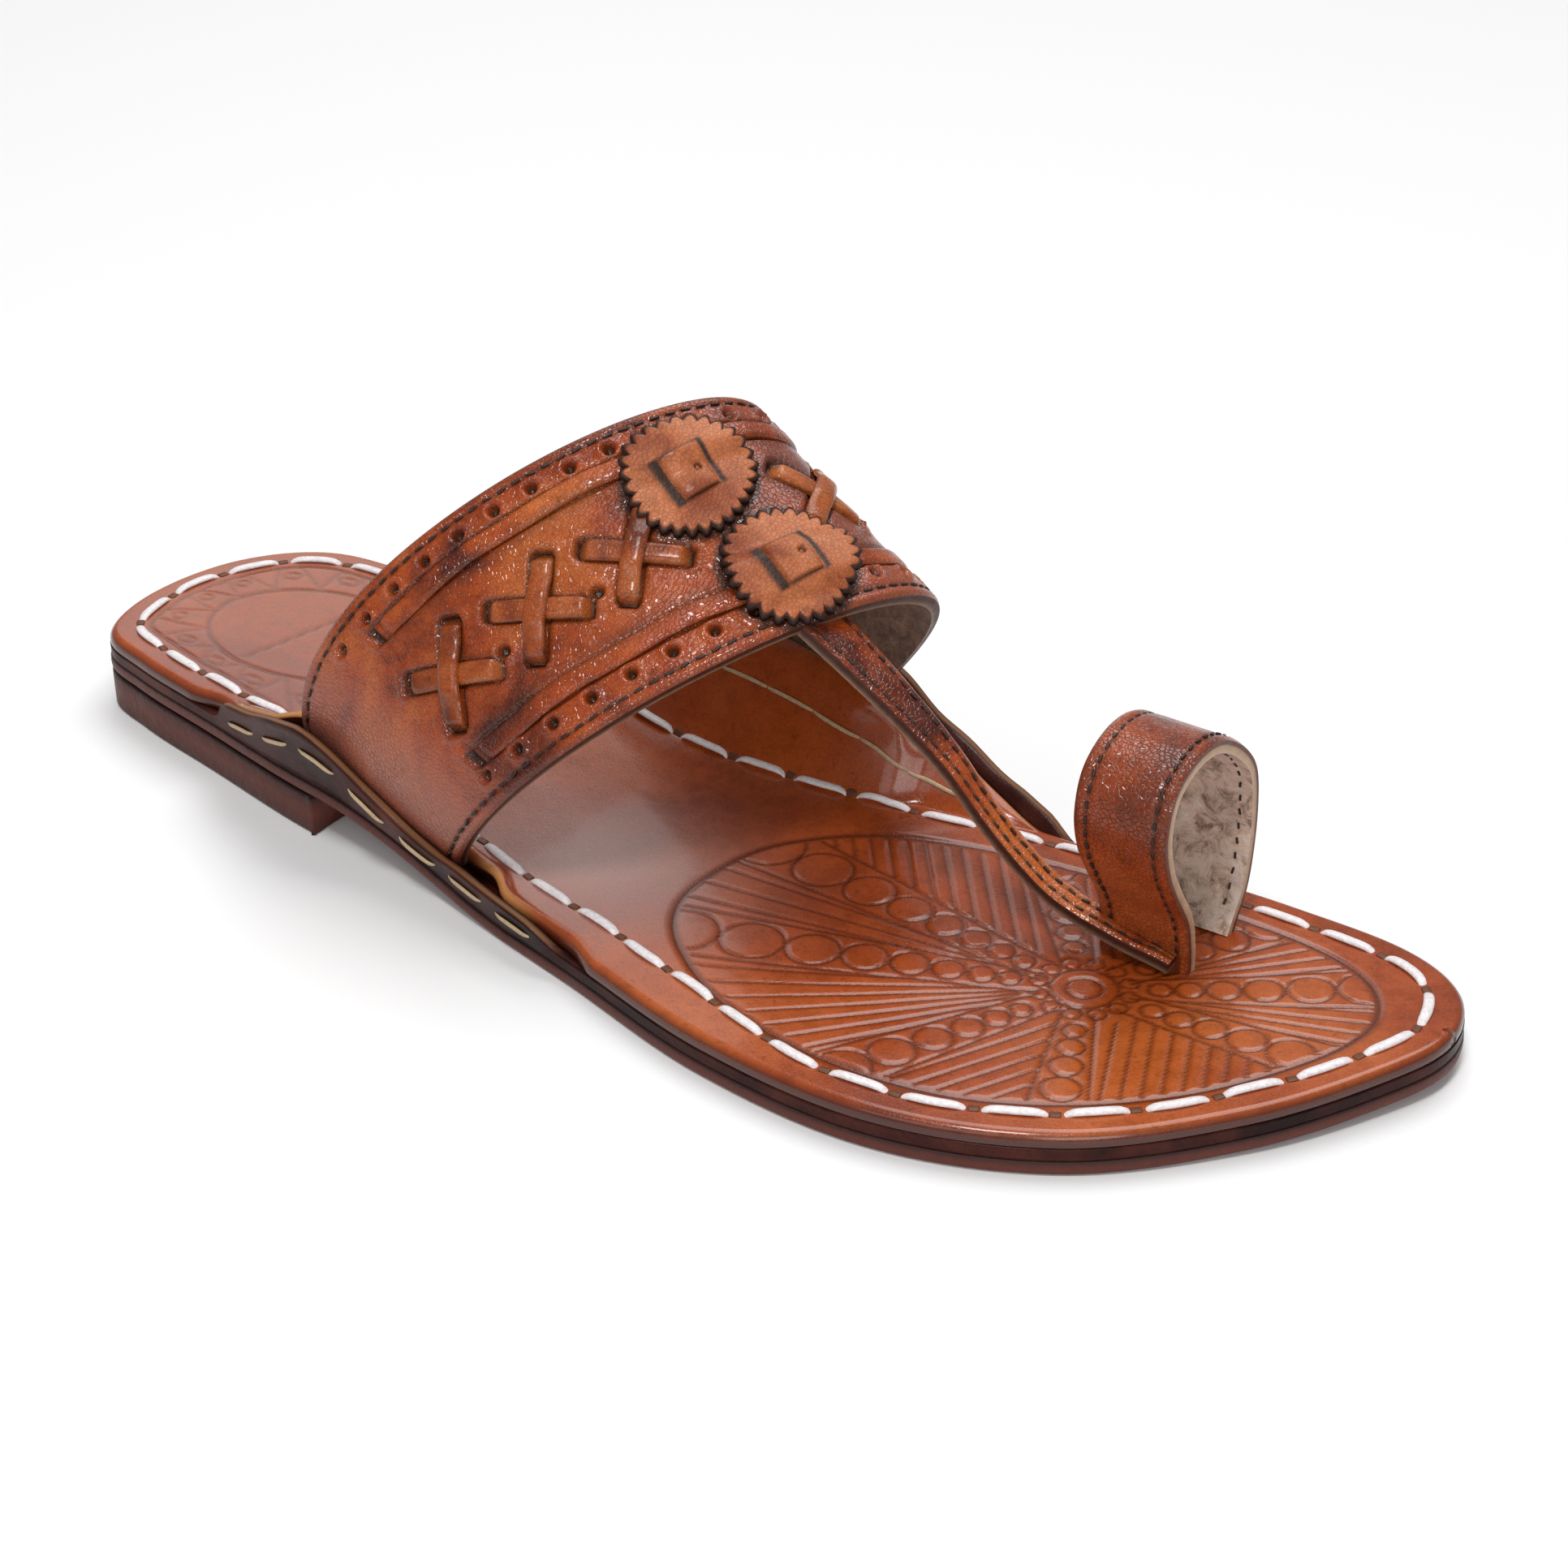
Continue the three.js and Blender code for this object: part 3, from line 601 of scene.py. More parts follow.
# The heel's oval ring with wedges and small arcs, its inner oval and one straight line
def heelPress(x, y, edgeAway):
    (cx, cy), (rx, ry) = heelMotif["centre"], heelMotif["radii"]
    line, inset = heelMotif["line"], heelMotif["inset"]
    angle = np.arctan2((y - cy) / ry, (x - cx) / rx)
    share = np.hypot((x - cx) / rx, (y - cy) / ry)
    scale = np.hypot(np.cos(angle) * rx, np.sin(angle) * ry)
    out = (share - 1) * scale
    behind = x < heelMotif["front"]
    pressShade = np.maximum(bell(out, heelMotif["oval"]), bell(edgeAway - inset, heelMotif["insetLine"]) * behind)
    room = (edgeAway > inset + 0.2) & (out > 0.6)
    depth = np.clip(out / np.maximum(out + edgeAway - inset, 0.5), 0, 1)
    phase = angle / (2 * math.pi) * heelMotif["marks"]
    near = np.abs(phase - np.round(phase))
    width = 2 * math.pi * scale / heelMotif["marks"]
    wedge = bell(np.abs(near - heelMotif["wedge"] * depth) * width, line)
    far = np.hypot((near - 0.5) * width, (depth - heelMotif["arcAt"]) * (out + edgeAway - inset))
    arcs = bell(far - heelMotif["arc"], line)
    pressShade = np.maximum(pressShade, np.where(room & behind, np.maximum(0.7 * wedge, 0.8 * arcs), 0))
    pressShade = np.maximum(pressShade, bell(segmentDistance(x, y, *heelMotif["bar"]), heelMotif["insetLine"]))
    return heelMotif["share"] * np.where(behind, pressShade, 0)


# Stations along the sole, close together where the footbed is embossed
bedGrid = {"fore": (6, 125), "foreStep": 0.5, "heel": -66, "heelStep": 0.75, "step": 1.5, "rows": 176}


def soleTurns():
    turns = [0.0]
    while turns[-1] < 1:
        t = turns[-1]
        x = -soleLength / 2 * math.cos(math.pi * t)
        step = bedGrid["heelStep"] if x < bedGrid["heel"] else bedGrid["step"]
        if bedGrid["fore"][0] < x < bedGrid["fore"][1]:
            step = bedGrid["foreStep"]
        rate = soleLength / 2 * math.pi * max(math.sin(math.pi * t), 0.02)
        turns.append(t + min(step / rate, 0.007))
    turns[-1] = 1.0
    return np.array(turns)


# Places and normals of the band's two feet, which the ears lie against
footTrees = {}
for side, span in ((-1, (0.0, 0.3)), (1, (0.7, 1.0))):
    around, back = np.meshgrid(np.linspace(*span, 90), np.linspace(0, 1, 60), indexing="ij")
    places, normals = onBand(around.ravel(), back.ravel())[:2]
    footTrees[side] = (treeOf(places), normals)
hug = {"span": (-85, 70), "near": 1.5, "fade": 9}


# Moves what would cross the band to lie a gap off its middle surface, inside or outside it
def hugBand(points, sides, gap, outside):
    moved = points.copy()
    for i, point in enumerate(points):
        if not hug["span"][0] < point[0] < hug["span"][1]:
            continue
        tree, normals = footTrees[int(sides[i])]
        place, index = tree.find(point)[:2]
        offset = point - np.array(place)
        height = float(offset @ normals[index])
        slide = math.sqrt(max(0.0, float(offset @ offset) - height * height))
        excess = gap - height if outside else height + gap
        if excess > 0:
            push = excess * float(1 - smoothStep((slide - hug["near"]) / hug["fade"]))
            moved[i] += normals[index] * (push if outside else -push)
    return moved


# Footbed: the insole with its inner ears, and the emboss pressed into a close grid
footbedLook = {"colors": ((0.22, 0.032, 0.004), (0.36, 0.062, 0.009), (0.47, 0.105, 0.02)), "patch": 16,
               "rough": (0.2, 0.38), "pores": 0.22, "coat": 0.55, "pressShadeColor": (0.06, 0.009, 0.002),
               "edgeColor": (0.045, 0.011, 0.008), "wearSheenColor": (0.42, 0.24, 0.21),
               "rawColor": (0.62, 0.27, 0.09)}
footbedForm = {"rounding": 1.7, "earRounding": 0.9, "cove": 0.4, "coveFall": 2.4, "sag": 0.4, "rim": 0.93,
               "raw": 0.85, "wearSheenAt": (-12, -12), "wearSheenReach": (26, 20), "wearSheen": 0.88, "heelWearSheen": 0.12,
               "heelFrom": -62, "heelDarkening": 0.13, "grooveDarkening": 0.85}
footbedLeather = leather("footbed_leather", **footbedLook)
turns = soleTurns()
outline = soleOutline(turns)
sides = outline["side"]
ringCount = len(sides)
xs = outline["points"][:, 0]
innerRise = bySide(sides, xs, lambda s, x: np.maximum(0, earRise(s, x) - earSize["drop"]))
leanOf = np.where(sides < 0, earLean[-1], earLean[1])
insetOf = bySide(sides, xs, insoleInset)
earness = smoothStep(innerRise / 3)
topRound = mix(footbedForm["rounding"], footbedForm["earRounding"], earness)


def footbedRing(inset, height, part):
    return ring(outline, insetOf + inset - leanOf * innerRise * part, height + innerRise * part)


footbedRings = [footbedRing(0.6, insoleBase - 0.25, 0), footbedRing(0.15, insoleBase - 0.15, 0)]
underCount = len(footbedRings)
for s in np.linspace(0, 1, 7):
    footbedRings.append(footbedRing(0, mix(insoleBase + 0.05, footbedTop - topRound, s), s))
outerCount = len(footbedRings)
for a in np.radians((22.5, 45, 67.5, 90)):
    rounding = topRound * (1 - math.cos(a))
    footbedRings.append(footbedRing(rounding, footbedTop - topRound * (1 - math.sin(a)), 1))
roundCount = len(footbedRings)
for s in np.linspace(0, 1, 11)[1:]:
    cove = mix(footbedForm["cove"], earSize["cove"], earness)
    thick = mix(topRound, earSize["inner"], earness)
    footbedRings.append(footbedRing(thick + cove * s, footbedTop, (1 - s) ** footbedForm["coveFall"]))
bandGap = bandThickness / 2 + clearance
for k in range(underCount, len(footbedRings)):
    gap = bandGap + earSize["inner"] * min(1, max(0, k - outerCount) / 4)
    footbedRings[k] = hugBand(footbedRings[k], sides, gap, False)
half = ringCount // 2
lateral = footbedRings[-1][: half + 1]
medial = footbedRings[-1][np.array([(ringCount - i) % ringCount for i in range(half + 1)])]
topRows = bedGrid["rows"]
v = np.linspace(0, 1, topRows + 1)[1:-1]
flat = mix(lateral[1:-1, None, :], medial[1:-1, None, :], v[None, :, None]).reshape(-1, 3)
flat[:, 2] = groundHeight(flat[:, 0]) + footbedTop
fineTree = treeOf(onPlane(outline["points"]))
edgeAway = np.array([fineTree.find(place)[2] for place in onPlane(flat)])
pressShade, raised = np.zeros((2, len(flat)))
fore = (flat[:, 0] > 4) & (flat[:, 0] < 127)
pressShade[fore], raised[fore] = forefootPress(flat[fore, 0], flat[fore, 1])
rear = flat[:, 0] < -60
pressShade[rear] = heelPress(flat[rear, 0], flat[rear, 1], edgeAway[rear])
sag = smoothStep((edgeAway - 8) / 20) * smoothStep((flat[:, 0] + 125) / 40)
sag *= footbedForm["sag"] * smoothStep((120 - flat[:, 0]) / 40)
flat[:, 2] += raised * emboss["dome"] - pressShade * emboss["depth"] - sag

points = np.concatenate(footbedRings + [flat])
start = ringCount * len(footbedRings)
faces = gridFaces(len(footbedRings), ringCount, wrap=True).tolist()
for i in range(half):
    far, near = (ringCount - i) % ringCount, ringCount - i - 1
    faces.append(list(dict.fromkeys([i, far, near, i + 1])))
topRing = ringCount * (len(footbedRings) - 1)


def topIndex(i, j):
    if j == 0 or i == 0 or i == half:
        return topRing + i
    if j == topRows:
        return topRing + (ringCount - i) % ringCount
    return start + (i - 1) * (topRows - 1) + j - 1


for i in range(half):
    for j in range(topRows):
        quad = [topIndex(i, j), topIndex(i + 1, j), topIndex(i + 1, j + 1), topIndex(i, j + 1)]
        quad = list(dict.fromkeys(quad))
        if len(quad) > 2:
            faces.append(quad)
rim, raw, wearSheen = np.zeros((3, len(points)))
for k in range(len(footbedRings)):
    span = slice(k * ringCount, (k + 1) * ringCount)
    rim[span] = footbedForm["rim"] * (1 - smoothStep((k - outerCount + 0.8) / 3.2))
    raw[span] = footbedForm["raw"] * smoothStep(innerRise / 1.2) * (outerCount <= k < outerCount + 3)
# A pale patch at the waist, painted sheen as well as wear, and a fainter pale layer over the heel
fromWearSheen = (flat[:, :2] - footbedForm["wearSheenAt"]) / footbedForm["wearSheenReach"]
heelward = smoothStep((footbedForm["heelFrom"] - flat[:, 0]) / 18)
wearSheen[start:] = footbedForm["wearSheen"] * np.exp(-(fromWearSheen**2).sum(1))
wearSheen[start:] = np.maximum(wearSheen[start:], footbedForm["heelWearSheen"] * heelward)
# The footbed darker in the emboss's pressed lines and a little darker over the heel
bedDarkening = np.maximum(pressShade * footbedForm["grooveDarkening"], footbedForm["heelDarkening"] * heelward)
values = {"pressShade": np.concatenate([np.zeros(start), bedDarkening]), "rim": rim, "wearSheen": wearSheen, "raw": raw}
footbed = makePiece("footbed", points, faces, [footbedLeather], None, values)
ridden(footbed, "footbed_leather", "insole")
print("footbed", len(faces), "faces")


# Midsole with its outer ears
flapLook = {"colors": ((0.014, 0.003, 0.002), (0.046, 0.009, 0.006), (0.1, 0.022, 0.013)), "patch": 40,
            "rough": (0.3, 0.5), "pores": 0.3, "coat": 0.06, "shine": 0.1, "edgeColor": (0.24, 0.11, 0.05)}
flapForm = {"inset": 0.2, "topLip": 0.12, "rim": 0.8, "level": (0.45, 0.7)}
flapLeather = leather("flap_leather", **flapLook)
shellTurns = np.linspace(0, 1, 261)
shell = soleOutline(shellTurns)
shellSides = shell["side"]
shellX = shell["points"][:, 0]
outerRise = bySide(shellSides, shellX, outerEarRise)
shellLean = np.where(shellSides < 0, earLean[-1], earLean[1])


def shellRing(inset, height, part=0.0):
    return ring(shell, inset - shellLean * outerRise * part, height + outerRise * part)


flapInset, flapTop = flapForm["inset"], midsoleTop + flapForm["topLip"]
midRings = [shellRing(0.6, midsoleBase - 0.25), shellRing(flapInset, midsoleBase - 0.15)]
underCount = len(midRings)
for s in np.linspace(0, 1, 8)[1:]:
    midRings.append(shellRing(flapInset, mix(midsoleBase + 0.05, midsoleTop, s), s))
wallCount = len(midRings)
thick = earSize["thickness"]
midRings += [shellRing(flapInset + thick * share, flapTop, 1) for share in (0.25, 0.5)]
for s in np.linspace(1, 0, 7):
    midRings.append(shellRing(mix(thick + 0.4, thick, s), midsoleTop, s))
for k in range(underCount, len(midRings)):
    midRings[k] = hugBand(midRings[k], shellSides, bandGap + (thick if k < wallCount else 0), True)
count = len(midRings)
rim = np.zeros((count, len(shellX)))
rim[wallCount: wallCount + 2] = flapForm["rim"] * smoothStep(outerRise / 2)
level = np.repeat(np.linspace(*flapForm["level"], count), len(shellX))
flapValues = {"pressShade": np.zeros(rim.size), "rim": rim.ravel(), "level": level}
midsole = loftPiece("side_flaps", midRings, [flapLeather], flapValues)
ridden(midsole, "midsole_leather", "midsole")

# Outsole: inset, height above the ground line and level of the colour at each ring of its profile
outsoleEdge = ((0.0, (0.14, 0.03, 0.017)), (0.3, (0.12, 0.026, 0.016)), (0.5, (0.04, 0.012, 0.009)),
               (1.0, (0.02, 0.008, 0.008)))
outsoleProfile = ((1.2, 0.0, 0.0), (0.45, 0.15, 0.03), (0.1, 0.5, 0.12), (0.0, 1.2, 0.25), (0.05, 2.2, 0.45),
                  (0.15, 2.5, 0.6), (0.7, 2.6, 0.6))
outRings = [shellRing(inset, height) for inset, height, shade in outsoleProfile]
outLevels = np.repeat([shade for inset, height, shade in outsoleProfile], len(shellX))
soleEdge = stackEdge("sole_edge", outsoleEdge)
outsole = loftPiece("outsole_layer", outRings, [soleEdge], {"level": outLevels})
ridden(outsole, "sole_leather", "outsole")

# Heel lift, with a profile like the outsole's, cut square in front
heelTop = heelSize["height"] - clearance
heelEdgeBands = ((0.0, (0.07, 0.015, 0.009)), (0.5, (0.12, 0.026, 0.014)), (0.85, (0.075, 0.017, 0.011)),
                 (1.0, (0.02, 0.006, 0.005)))
heelProfile = ((1.0, 0.0, 0.0), (0.35, 0.2, 0.02), (0.15, 0.6, 0.05), (0.1, 3.8, 0.45),
               (0.1, heelTop - 0.5, 0.95), (0.35, heelTop - 0.1, 1.0), (1.0, heelTop, 1.0))
heelFront = -soleLength / 2 + heelSize["length"]
heelTurns = np.linspace(0, math.acos(-2 * heelFront / soleLength) / math.pi, 90)
heelX = -soleLength / 2 * np.cos(math.pi * heelTurns)
lateralHeel, medialHeel = (np.stack([heelX, ballWidth * edgeShare(side, heelTurns)], 1) for side in (-1, 1))
heelLine = np.concatenate([lateralHeel, medialHeel[:0:-1]])
heelCount = len(heelLine)
heelRings = []
for inset, height, shade in heelProfile:
    flatRing = heelLine - outwardNormals(heelLine) * inset
    flatRing[:, 0] = np.minimum(flatRing[:, 0], heelFront)
    heelRings.append(np.column_stack([flatRing, np.full(heelCount, height)]))
faces = gridFaces(len(heelRings), heelCount, wrap=True).tolist()
faces.append(list(range(heelCount))[::-1])
faces.append([(len(heelRings) - 1) * heelCount + i for i in range(heelCount)])
heelLevels = np.repeat([shade for inset, height, shade in heelProfile], heelCount)
heelEdge = stackEdge("heel_edge", heelEdgeBands)
heel = makePiece("heel_lift", np.concatenate(heelRings), faces, [heelEdge], None, {"level": heelLevels})
ridden(heel, "heel_leather", "heel")
print("sole layers made")


# A new group with a geometry going in and out, numbers and a material; returns it with its inputs' node
def startGroup(name, numbers):
    group = bpy.data.node_groups.new(name, "GeometryNodeTree")
    group.interface.new_socket("Geometry", in_out="INPUT", socket_type="NodeSocketGeometry")
    for key, value in numbers:
        group.interface.new_socket(key, in_out="INPUT", socket_type="NodeSocketFloat").default_value = value
    group.interface.new_socket("Material", in_out="INPUT", socket_type="NodeSocketMaterial")
    group.interface.new_socket("Geometry", in_out="OUTPUT", socket_type="NodeSocketGeometry")
    return group, group.nodes.new("NodeGroupInput").outputs


# The group's end: real geometry with the material, and out
def finishGroup(group, inputs, geometry):
    real = addNode(group, "GeometryNodeRealizeInstances", {"Geometry": geometry})
    painted = {"Geometry": real.outputs["Geometry"], "Material": inputs["Material"]}
    paint = addNode(group, "GeometryNodeSetMaterial", painted)
    addNode(group, "NodeGroupOutput", {"Geometry": paint.outputs["Geometry"]})
    return group


def smoothed(group, geometry):
    return addNode(group, "GeometryNodeSetShadeSmooth", {"Geometry": geometry}).outputs["Geometry"]


def namedValue(group, name, kind="FLOAT_VECTOR"):
    node = addNode(group, "GeometryNodeInputNamedAttribute", {"Name": name})
    node.data_type = kind
    return node.outputs["Attribute"]


# Stitches and other small repeats, on points that carry a heading and an up direction
def repeatGroup():
    numbers = (("Length", 0.003), ("Width", 0.001), ("Height", 0.0005), ("Stir", 0.05))
    group, inputs = startGroup("row_of_stitches", numbers)
    sides = {"X": inputs["Length"], "Y": inputs["Width"], "Z": inputs["Height"]}
    size = addNode(group, "ShaderNodeCombineXYZ", sides).outputs[0]
    block = {"Size": size, "Vertices X": 5, "Vertices Y": 3, "Vertices Z": 2}
    cube = addNode(group, "GeometryNodeMeshCube", block).outputs["Mesh"]
    soft = addNode(group, "GeometryNodeSubdivisionSurface", {"Mesh": cube, "Level": 1}).outputs["Mesh"]
    facing = {"Primary Axis": namedValue(group, "up"), "Secondary Axis": namedValue(group, "heading")}
    axes = addNode(group, "FunctionNodeAxesToRotation", facing)
    axes.primary_axis = "Z"
    axes.secondary_axis = "X"
    jitter = addNode(group, "FunctionNodeRandomValue")
    jitter.data_type = "FLOAT"
    low, high = [s for s in jitter.inputs if s.type == "VALUE"][:2]
    group.links.new(mathNode(group, "MULTIPLY", inputs["Stir"], -1), low)
    group.links.new(inputs["Stir"], high)
    next(s for s in jitter.inputs if s.name == "Seed").default_value = 7
    turn = next(s for s in jitter.outputs if s.enabled and s.type == "VALUE")
    spin = addNode(group, "ShaderNodeCombineXYZ", {"Z": turn}).outputs[0]
    turned = addNode(group, "FunctionNodeRotateRotation", {"Rotation": axes.outputs[0], "Rotate By": spin})
    turned.rotation_space = "LOCAL"
    spread = {"Points": inputs["Geometry"], "Instance": smoothed(group, soft), "Rotation": turned.outputs[0]}
    place = addNode(group, "GeometryNodeInstanceOnPoints", spread)
    return finishGroup(group, inputs, place.outputs["Instances"])


# A lace of oval section along the edges of a mesh, whose points say how thick it is and which way is up
def laceGroup():
    group, inputs = startGroup("threaded_lace", (("Width", 0.002), ("Height", 0.001)))
    curve = addNode(group, "GeometryNodeMeshToCurve", {"Mesh": inputs["Geometry"]}).outputs["Curve"]
    facing = addNode(group, "GeometryNodeSetCurveNormal", {"Curve": curve})
    facing.mode = "FREE"
    group.links.new(namedValue(group, "up"), facing.inputs["Normal"])
    circle = addNode(group, "GeometryNodeCurvePrimitiveCircle", {"Resolution": 10, "Radius": 0.5})
    size = addNode(group, "ShaderNodeCombineXYZ", {"X": inputs["Height"], "Y": inputs["Width"], "Z": 1})
    oval = {"Geometry": circle.outputs["Curve"], "Scale": size.outputs[0]}
    profile = addNode(group, "GeometryNodeTransform", oval)
    path = {"Curve": facing.outputs["Curve"], "Profile Curve": profile.outputs["Geometry"],
            "Scale": namedValue(group, "thick", "FLOAT"), "Fill Caps": True}
    tube = addNode(group, "GeometryNodeCurveToMesh", path)
    return finishGroup(group, inputs, smoothed(group, tube.outputs["Mesh"]))


rowGroup = repeatGroup()
threadGroup = laceGroup()


# The mesh that a node group makes of a guide, as a piece of its own
def evaluated(name, guide, group, settings, slot):
    modifier = guide.modifiers.new("repeat", "NODES")
    modifier.node_group = group
    for item in group.interface.items_tree:
        if item.item_type == "SOCKET" and item.in_out == "INPUT" and item.name in settings:
            modifier[item.identifier] = settings[item.name]
    guide.update_tag()
    graph = bpy.context.evaluated_depsgraph_get()
    mesh = bpy.data.meshes.new_from_object(guide.evaluated_get(graph), depsgraph=graph)
    mesh.name = name
    piece = bpy.data.objects.new(name, mesh)
    bpy.context.collection.objects.link(piece)
    bpy.data.objects.remove(guide)
    return ridden(piece, slot)


# Points or edges that a node group turns into stitches, with a number or a direction on each point
def guideMesh(name, places, edges, columns):
    mesh = bpy.data.meshes.new(name + "_guide")
    mesh.from_pydata(((np.asarray(places) + shift) * mm).tolist(), edges, [])
    for key, column in columns.items():
        column = np.asarray(column, np.float32)
        if column.ndim == 2:
            mesh.attributes.new(key, "FLOAT_VECTOR", "POINT").data.foreach_set("vector", column.ravel())
        else:
            mesh.attributes.new(key, "FLOAT", "POINT").data.foreach_set("value", column)
    guide = bpy.data.objects.new(name + "_guide", mesh)
    bpy.context.collection.objects.link(guide)
    return guide


# Threaded stitches along a path: each follows the surface and dives at both ends
def laceRow(name, path, ups, row, slot, closed=False, steps=13):
    p, n = np.asarray(path, float), np.asarray(ups, float)
    if closed:
        p, n = np.concatenate([p, p[:1]]), np.concatenate([n, n[:1]])
    way = wayAlong(p)
    count = max(1, round(way[-1] / row["pitch"]))
    pitch = way[-1] / count
    places, directions, widths, edges = [], [], [], []
    for k in range(count):
        t = np.linspace(-1, 1, steps)
        at = (k + 0.5) * pitch + t * (row["length"] / 2) * (pitch / row["pitch"])
        spot, up = readLine(at, way, p), unit(readLine(at, way, n))
        side = np.cross(up, unit(np.gradient(spot, axis=0)))
        bow = row["bow"] * math.sin(k * 2.4 + 1) * (1 - t * t)
        rise = row["height"] * 0.42 - row["dive"] * np.abs(t) ** 6
        places.append(spot + up * rise[:, None] + side * bow[:, None])
        directions.append(up)
        widths.append(1 - row["taper"] * np.abs(t) ** 4)
        edges += [(k * steps + i, k * steps + i + 1) for i in range(steps - 1)]
    guide = guideMesh(name, np.concatenate(places), edges,
                      {"up": np.concatenate(directions), "thick": np.concatenate(widths)})
    settings = {"Width": row["width"] * mm, "Height": row["height"] * mm, "Material": row["thread"]}
    return evaluated(name, guide, threadGroup, settings, slot)


# One piece with a rounded bar of the row's size at each place, each turned by up to the row's stir
def stitchRow(name, places, headings, ups, row, slot):
    guide = guideMesh(name, places, [], {"heading": headings, "up": ups})
    settings = {key: size * mm for key, size in zip(("Length", "Width", "Height"), row["size"])}
    settings.update({"Stir": row["stir"], "Material": row["thread"]})
    return evaluated(name, guide, rowGroup, settings, slot)


# Places, headings and the share of the way at an even pitch along a polyline
def evenly(points, pitch):
    p = np.asarray(points, float)
    total = stepsOf(p).sum()
    way = wayAlong(p)
    count = max(2, round(total / pitch))
    at = (np.arange(count) + 0.5) * total / count
    ahead, behind = readLine(np.minimum(at + 0.4, total), way, p), readLine(np.maximum(at - 0.4, 0), way, p)
    return readLine(at, way, p), unit(ahead - behind), at / total


# White lace of the footbed, which lies on its surface, and the pricked holes that it goes through, as small
# dark blocks of painted shade
lace = {"pitch": 12.7, "length": 11.2, "width": 1.9, "height": 1.0, "dive": 1.1, "taper": 0.45, "bow": 0.35,
        "inset": 5.6, "waistInset": 9.2, "stations": 760, "smoothing": 8,
        "thread": threadMaterial("white_lace", (0.88, 0.82, 0.83), 0.4)}
laceHoles = {"size": (2.0, 1.6, 0.4), "stir": 0.2,
             "thread": threadMaterial("pricked_hole_shade", (0.13, 0.035, 0.01), 0.5)}
laceX = fineOutline["points"][:, 0]
waist = smoothStep((laceX + 98) / 30) * smoothStep((62 - laceX) / 40)
laceLine = ring(fineOutline, mix(lace["inset"], lace["waistInset"], waist), 40)
bedPolygons = [polygon.vertices[:] for polygon in footbed.data.polygons]
bed = BVHTree.FromPolygons([vertex.co[:] for vertex in footbed.data.vertices], bedPolygons)


# Places dropped on the footbed from above, with its normals there
def onFootbed(places):
    found, normals = [], []
    for place in places:
        start = (Vector(place) + Vector(shift)) * mm
        start.z = instepHeight * mm
        hit, normal = bed.ray_cast(start, Vector((0, 0, -1)))[:2]
        found.append(np.array(hit) / mm - shift if hit else np.array(place))
        normals.append(np.array(normal) if hit else np.array((0, 0, 1)))
    return np.array(found), np.array(normals)


laceStations = np.concatenate([laceLine, laceLine[:1]])
laceWay = wayAlong(laceStations)
evenLine = readLine(np.linspace(0, laceWay[-1], lace["stations"], endpoint=False), laceWay, laceStations)
reach = lace["smoothing"]
kernel = np.hanning(2 * reach + 3)[1:-1]
kernel /= kernel.sum()
wrapped = np.concatenate([evenLine[-reach:], evenLine, evenLine[:reach]])
evenLine = np.stack([np.convolve(wrapped[:, k], kernel, "valid") for k in range(3)], 1)
seats, ups = onFootbed(evenLine)
print("sole lace", round(float(laceWay[-1]), 1), "mm round")
laceRow("sole_lacing", seats, np.broadcast_to((0, 0, 1), seats.shape), lace, "footbed_leather", True)
holeCount = round(laceWay[-1] / lace["pitch"])
holeRows = np.round(np.arange(holeCount) * len(seats) / holeCount).astype(int)
facing = np.roll(seats, -3, 0)[holeRows] - seats[holeRows]
holeUps = ups[holeRows]
holePlaces = seats[holeRows] + holeUps * 0.02
stitchRow("sole_lacing_holes", holePlaces, facing, holeUps, laceHoles, "footbed_leather")

# Cream thread through the flaps: below the top of each outer flap, and inside the tall one
creamThread = threadMaterial("cream_thread", (0.55, 0.4, 0.24), 0.6)
flapThread = {"pitch": 12.4, "length": 9.6, "width": 1.15, "height": 0.6, "dive": 0.7, "taper": 0.8,
              "bow": 0.45, "thread": creamThread}
innerThread = {"pitch": 10.5, "length": 10.3, "width": 0.8, "height": 0.5, "dive": 0.4, "taper": 0.3,
               "bow": 0.3, "thread": creamThread}


# Indices of the stations of one side between two places, from the heel to the toe
def stationsBetween(sideOf, x, side, span):
    chosen = np.flatnonzero((sideOf == side) & (span[0] < x) & (x < span[1]))
    return chosen[np.argsort(x[chosen])]


# A place at the given depth below the top of a wall's column
def belowTop(column, down):
    return [np.interp(column[-1, 2] - down, column[:, 2], column[:, k]) for k in range(3)]


flapWall = np.array(midRings[2:wallCount])
for name, side, span in (("lateral", -1, (-90, -2)), ("medial", 1, (-82, 50))):
    chosen = stationsBetween(shellSides, shellX, side, span)
    line = np.array([belowTop(flapWall[:, i], min(5.0, 0.6 * outerRise[i] + 0.4)) for i in chosen])
    padded = np.pad(line, ((3, 3), (0, 0)), "edge")
    line = np.stack([np.convolve(padded[:, k], np.ones(7) / 7, "valid") for k in range(3)], 1)
    outward = np.broadcast_to((0, side * 0.93, -0.36), line.shape)
    laceRow(f"flap_thread_{name}", line + outward * 0.1, outward, flapThread, "midsole_leather")
innerWall = np.array(footbedRings[roundCount:])[::-1]
chosen = stationsBetween(sides, xs, 1, (-70, 44))[::3]
line = np.array([belowTop(innerWall[:, i], min(4.6, 0.4 * innerRise[i])) for i in chosen])
inward = np.broadcast_to((0, -0.9, 0.44), line.shape)
laceRow("flap_thread_inside", line + inward * 0.15, inward, innerThread, "footbed_leather")
print("sole stitches made")


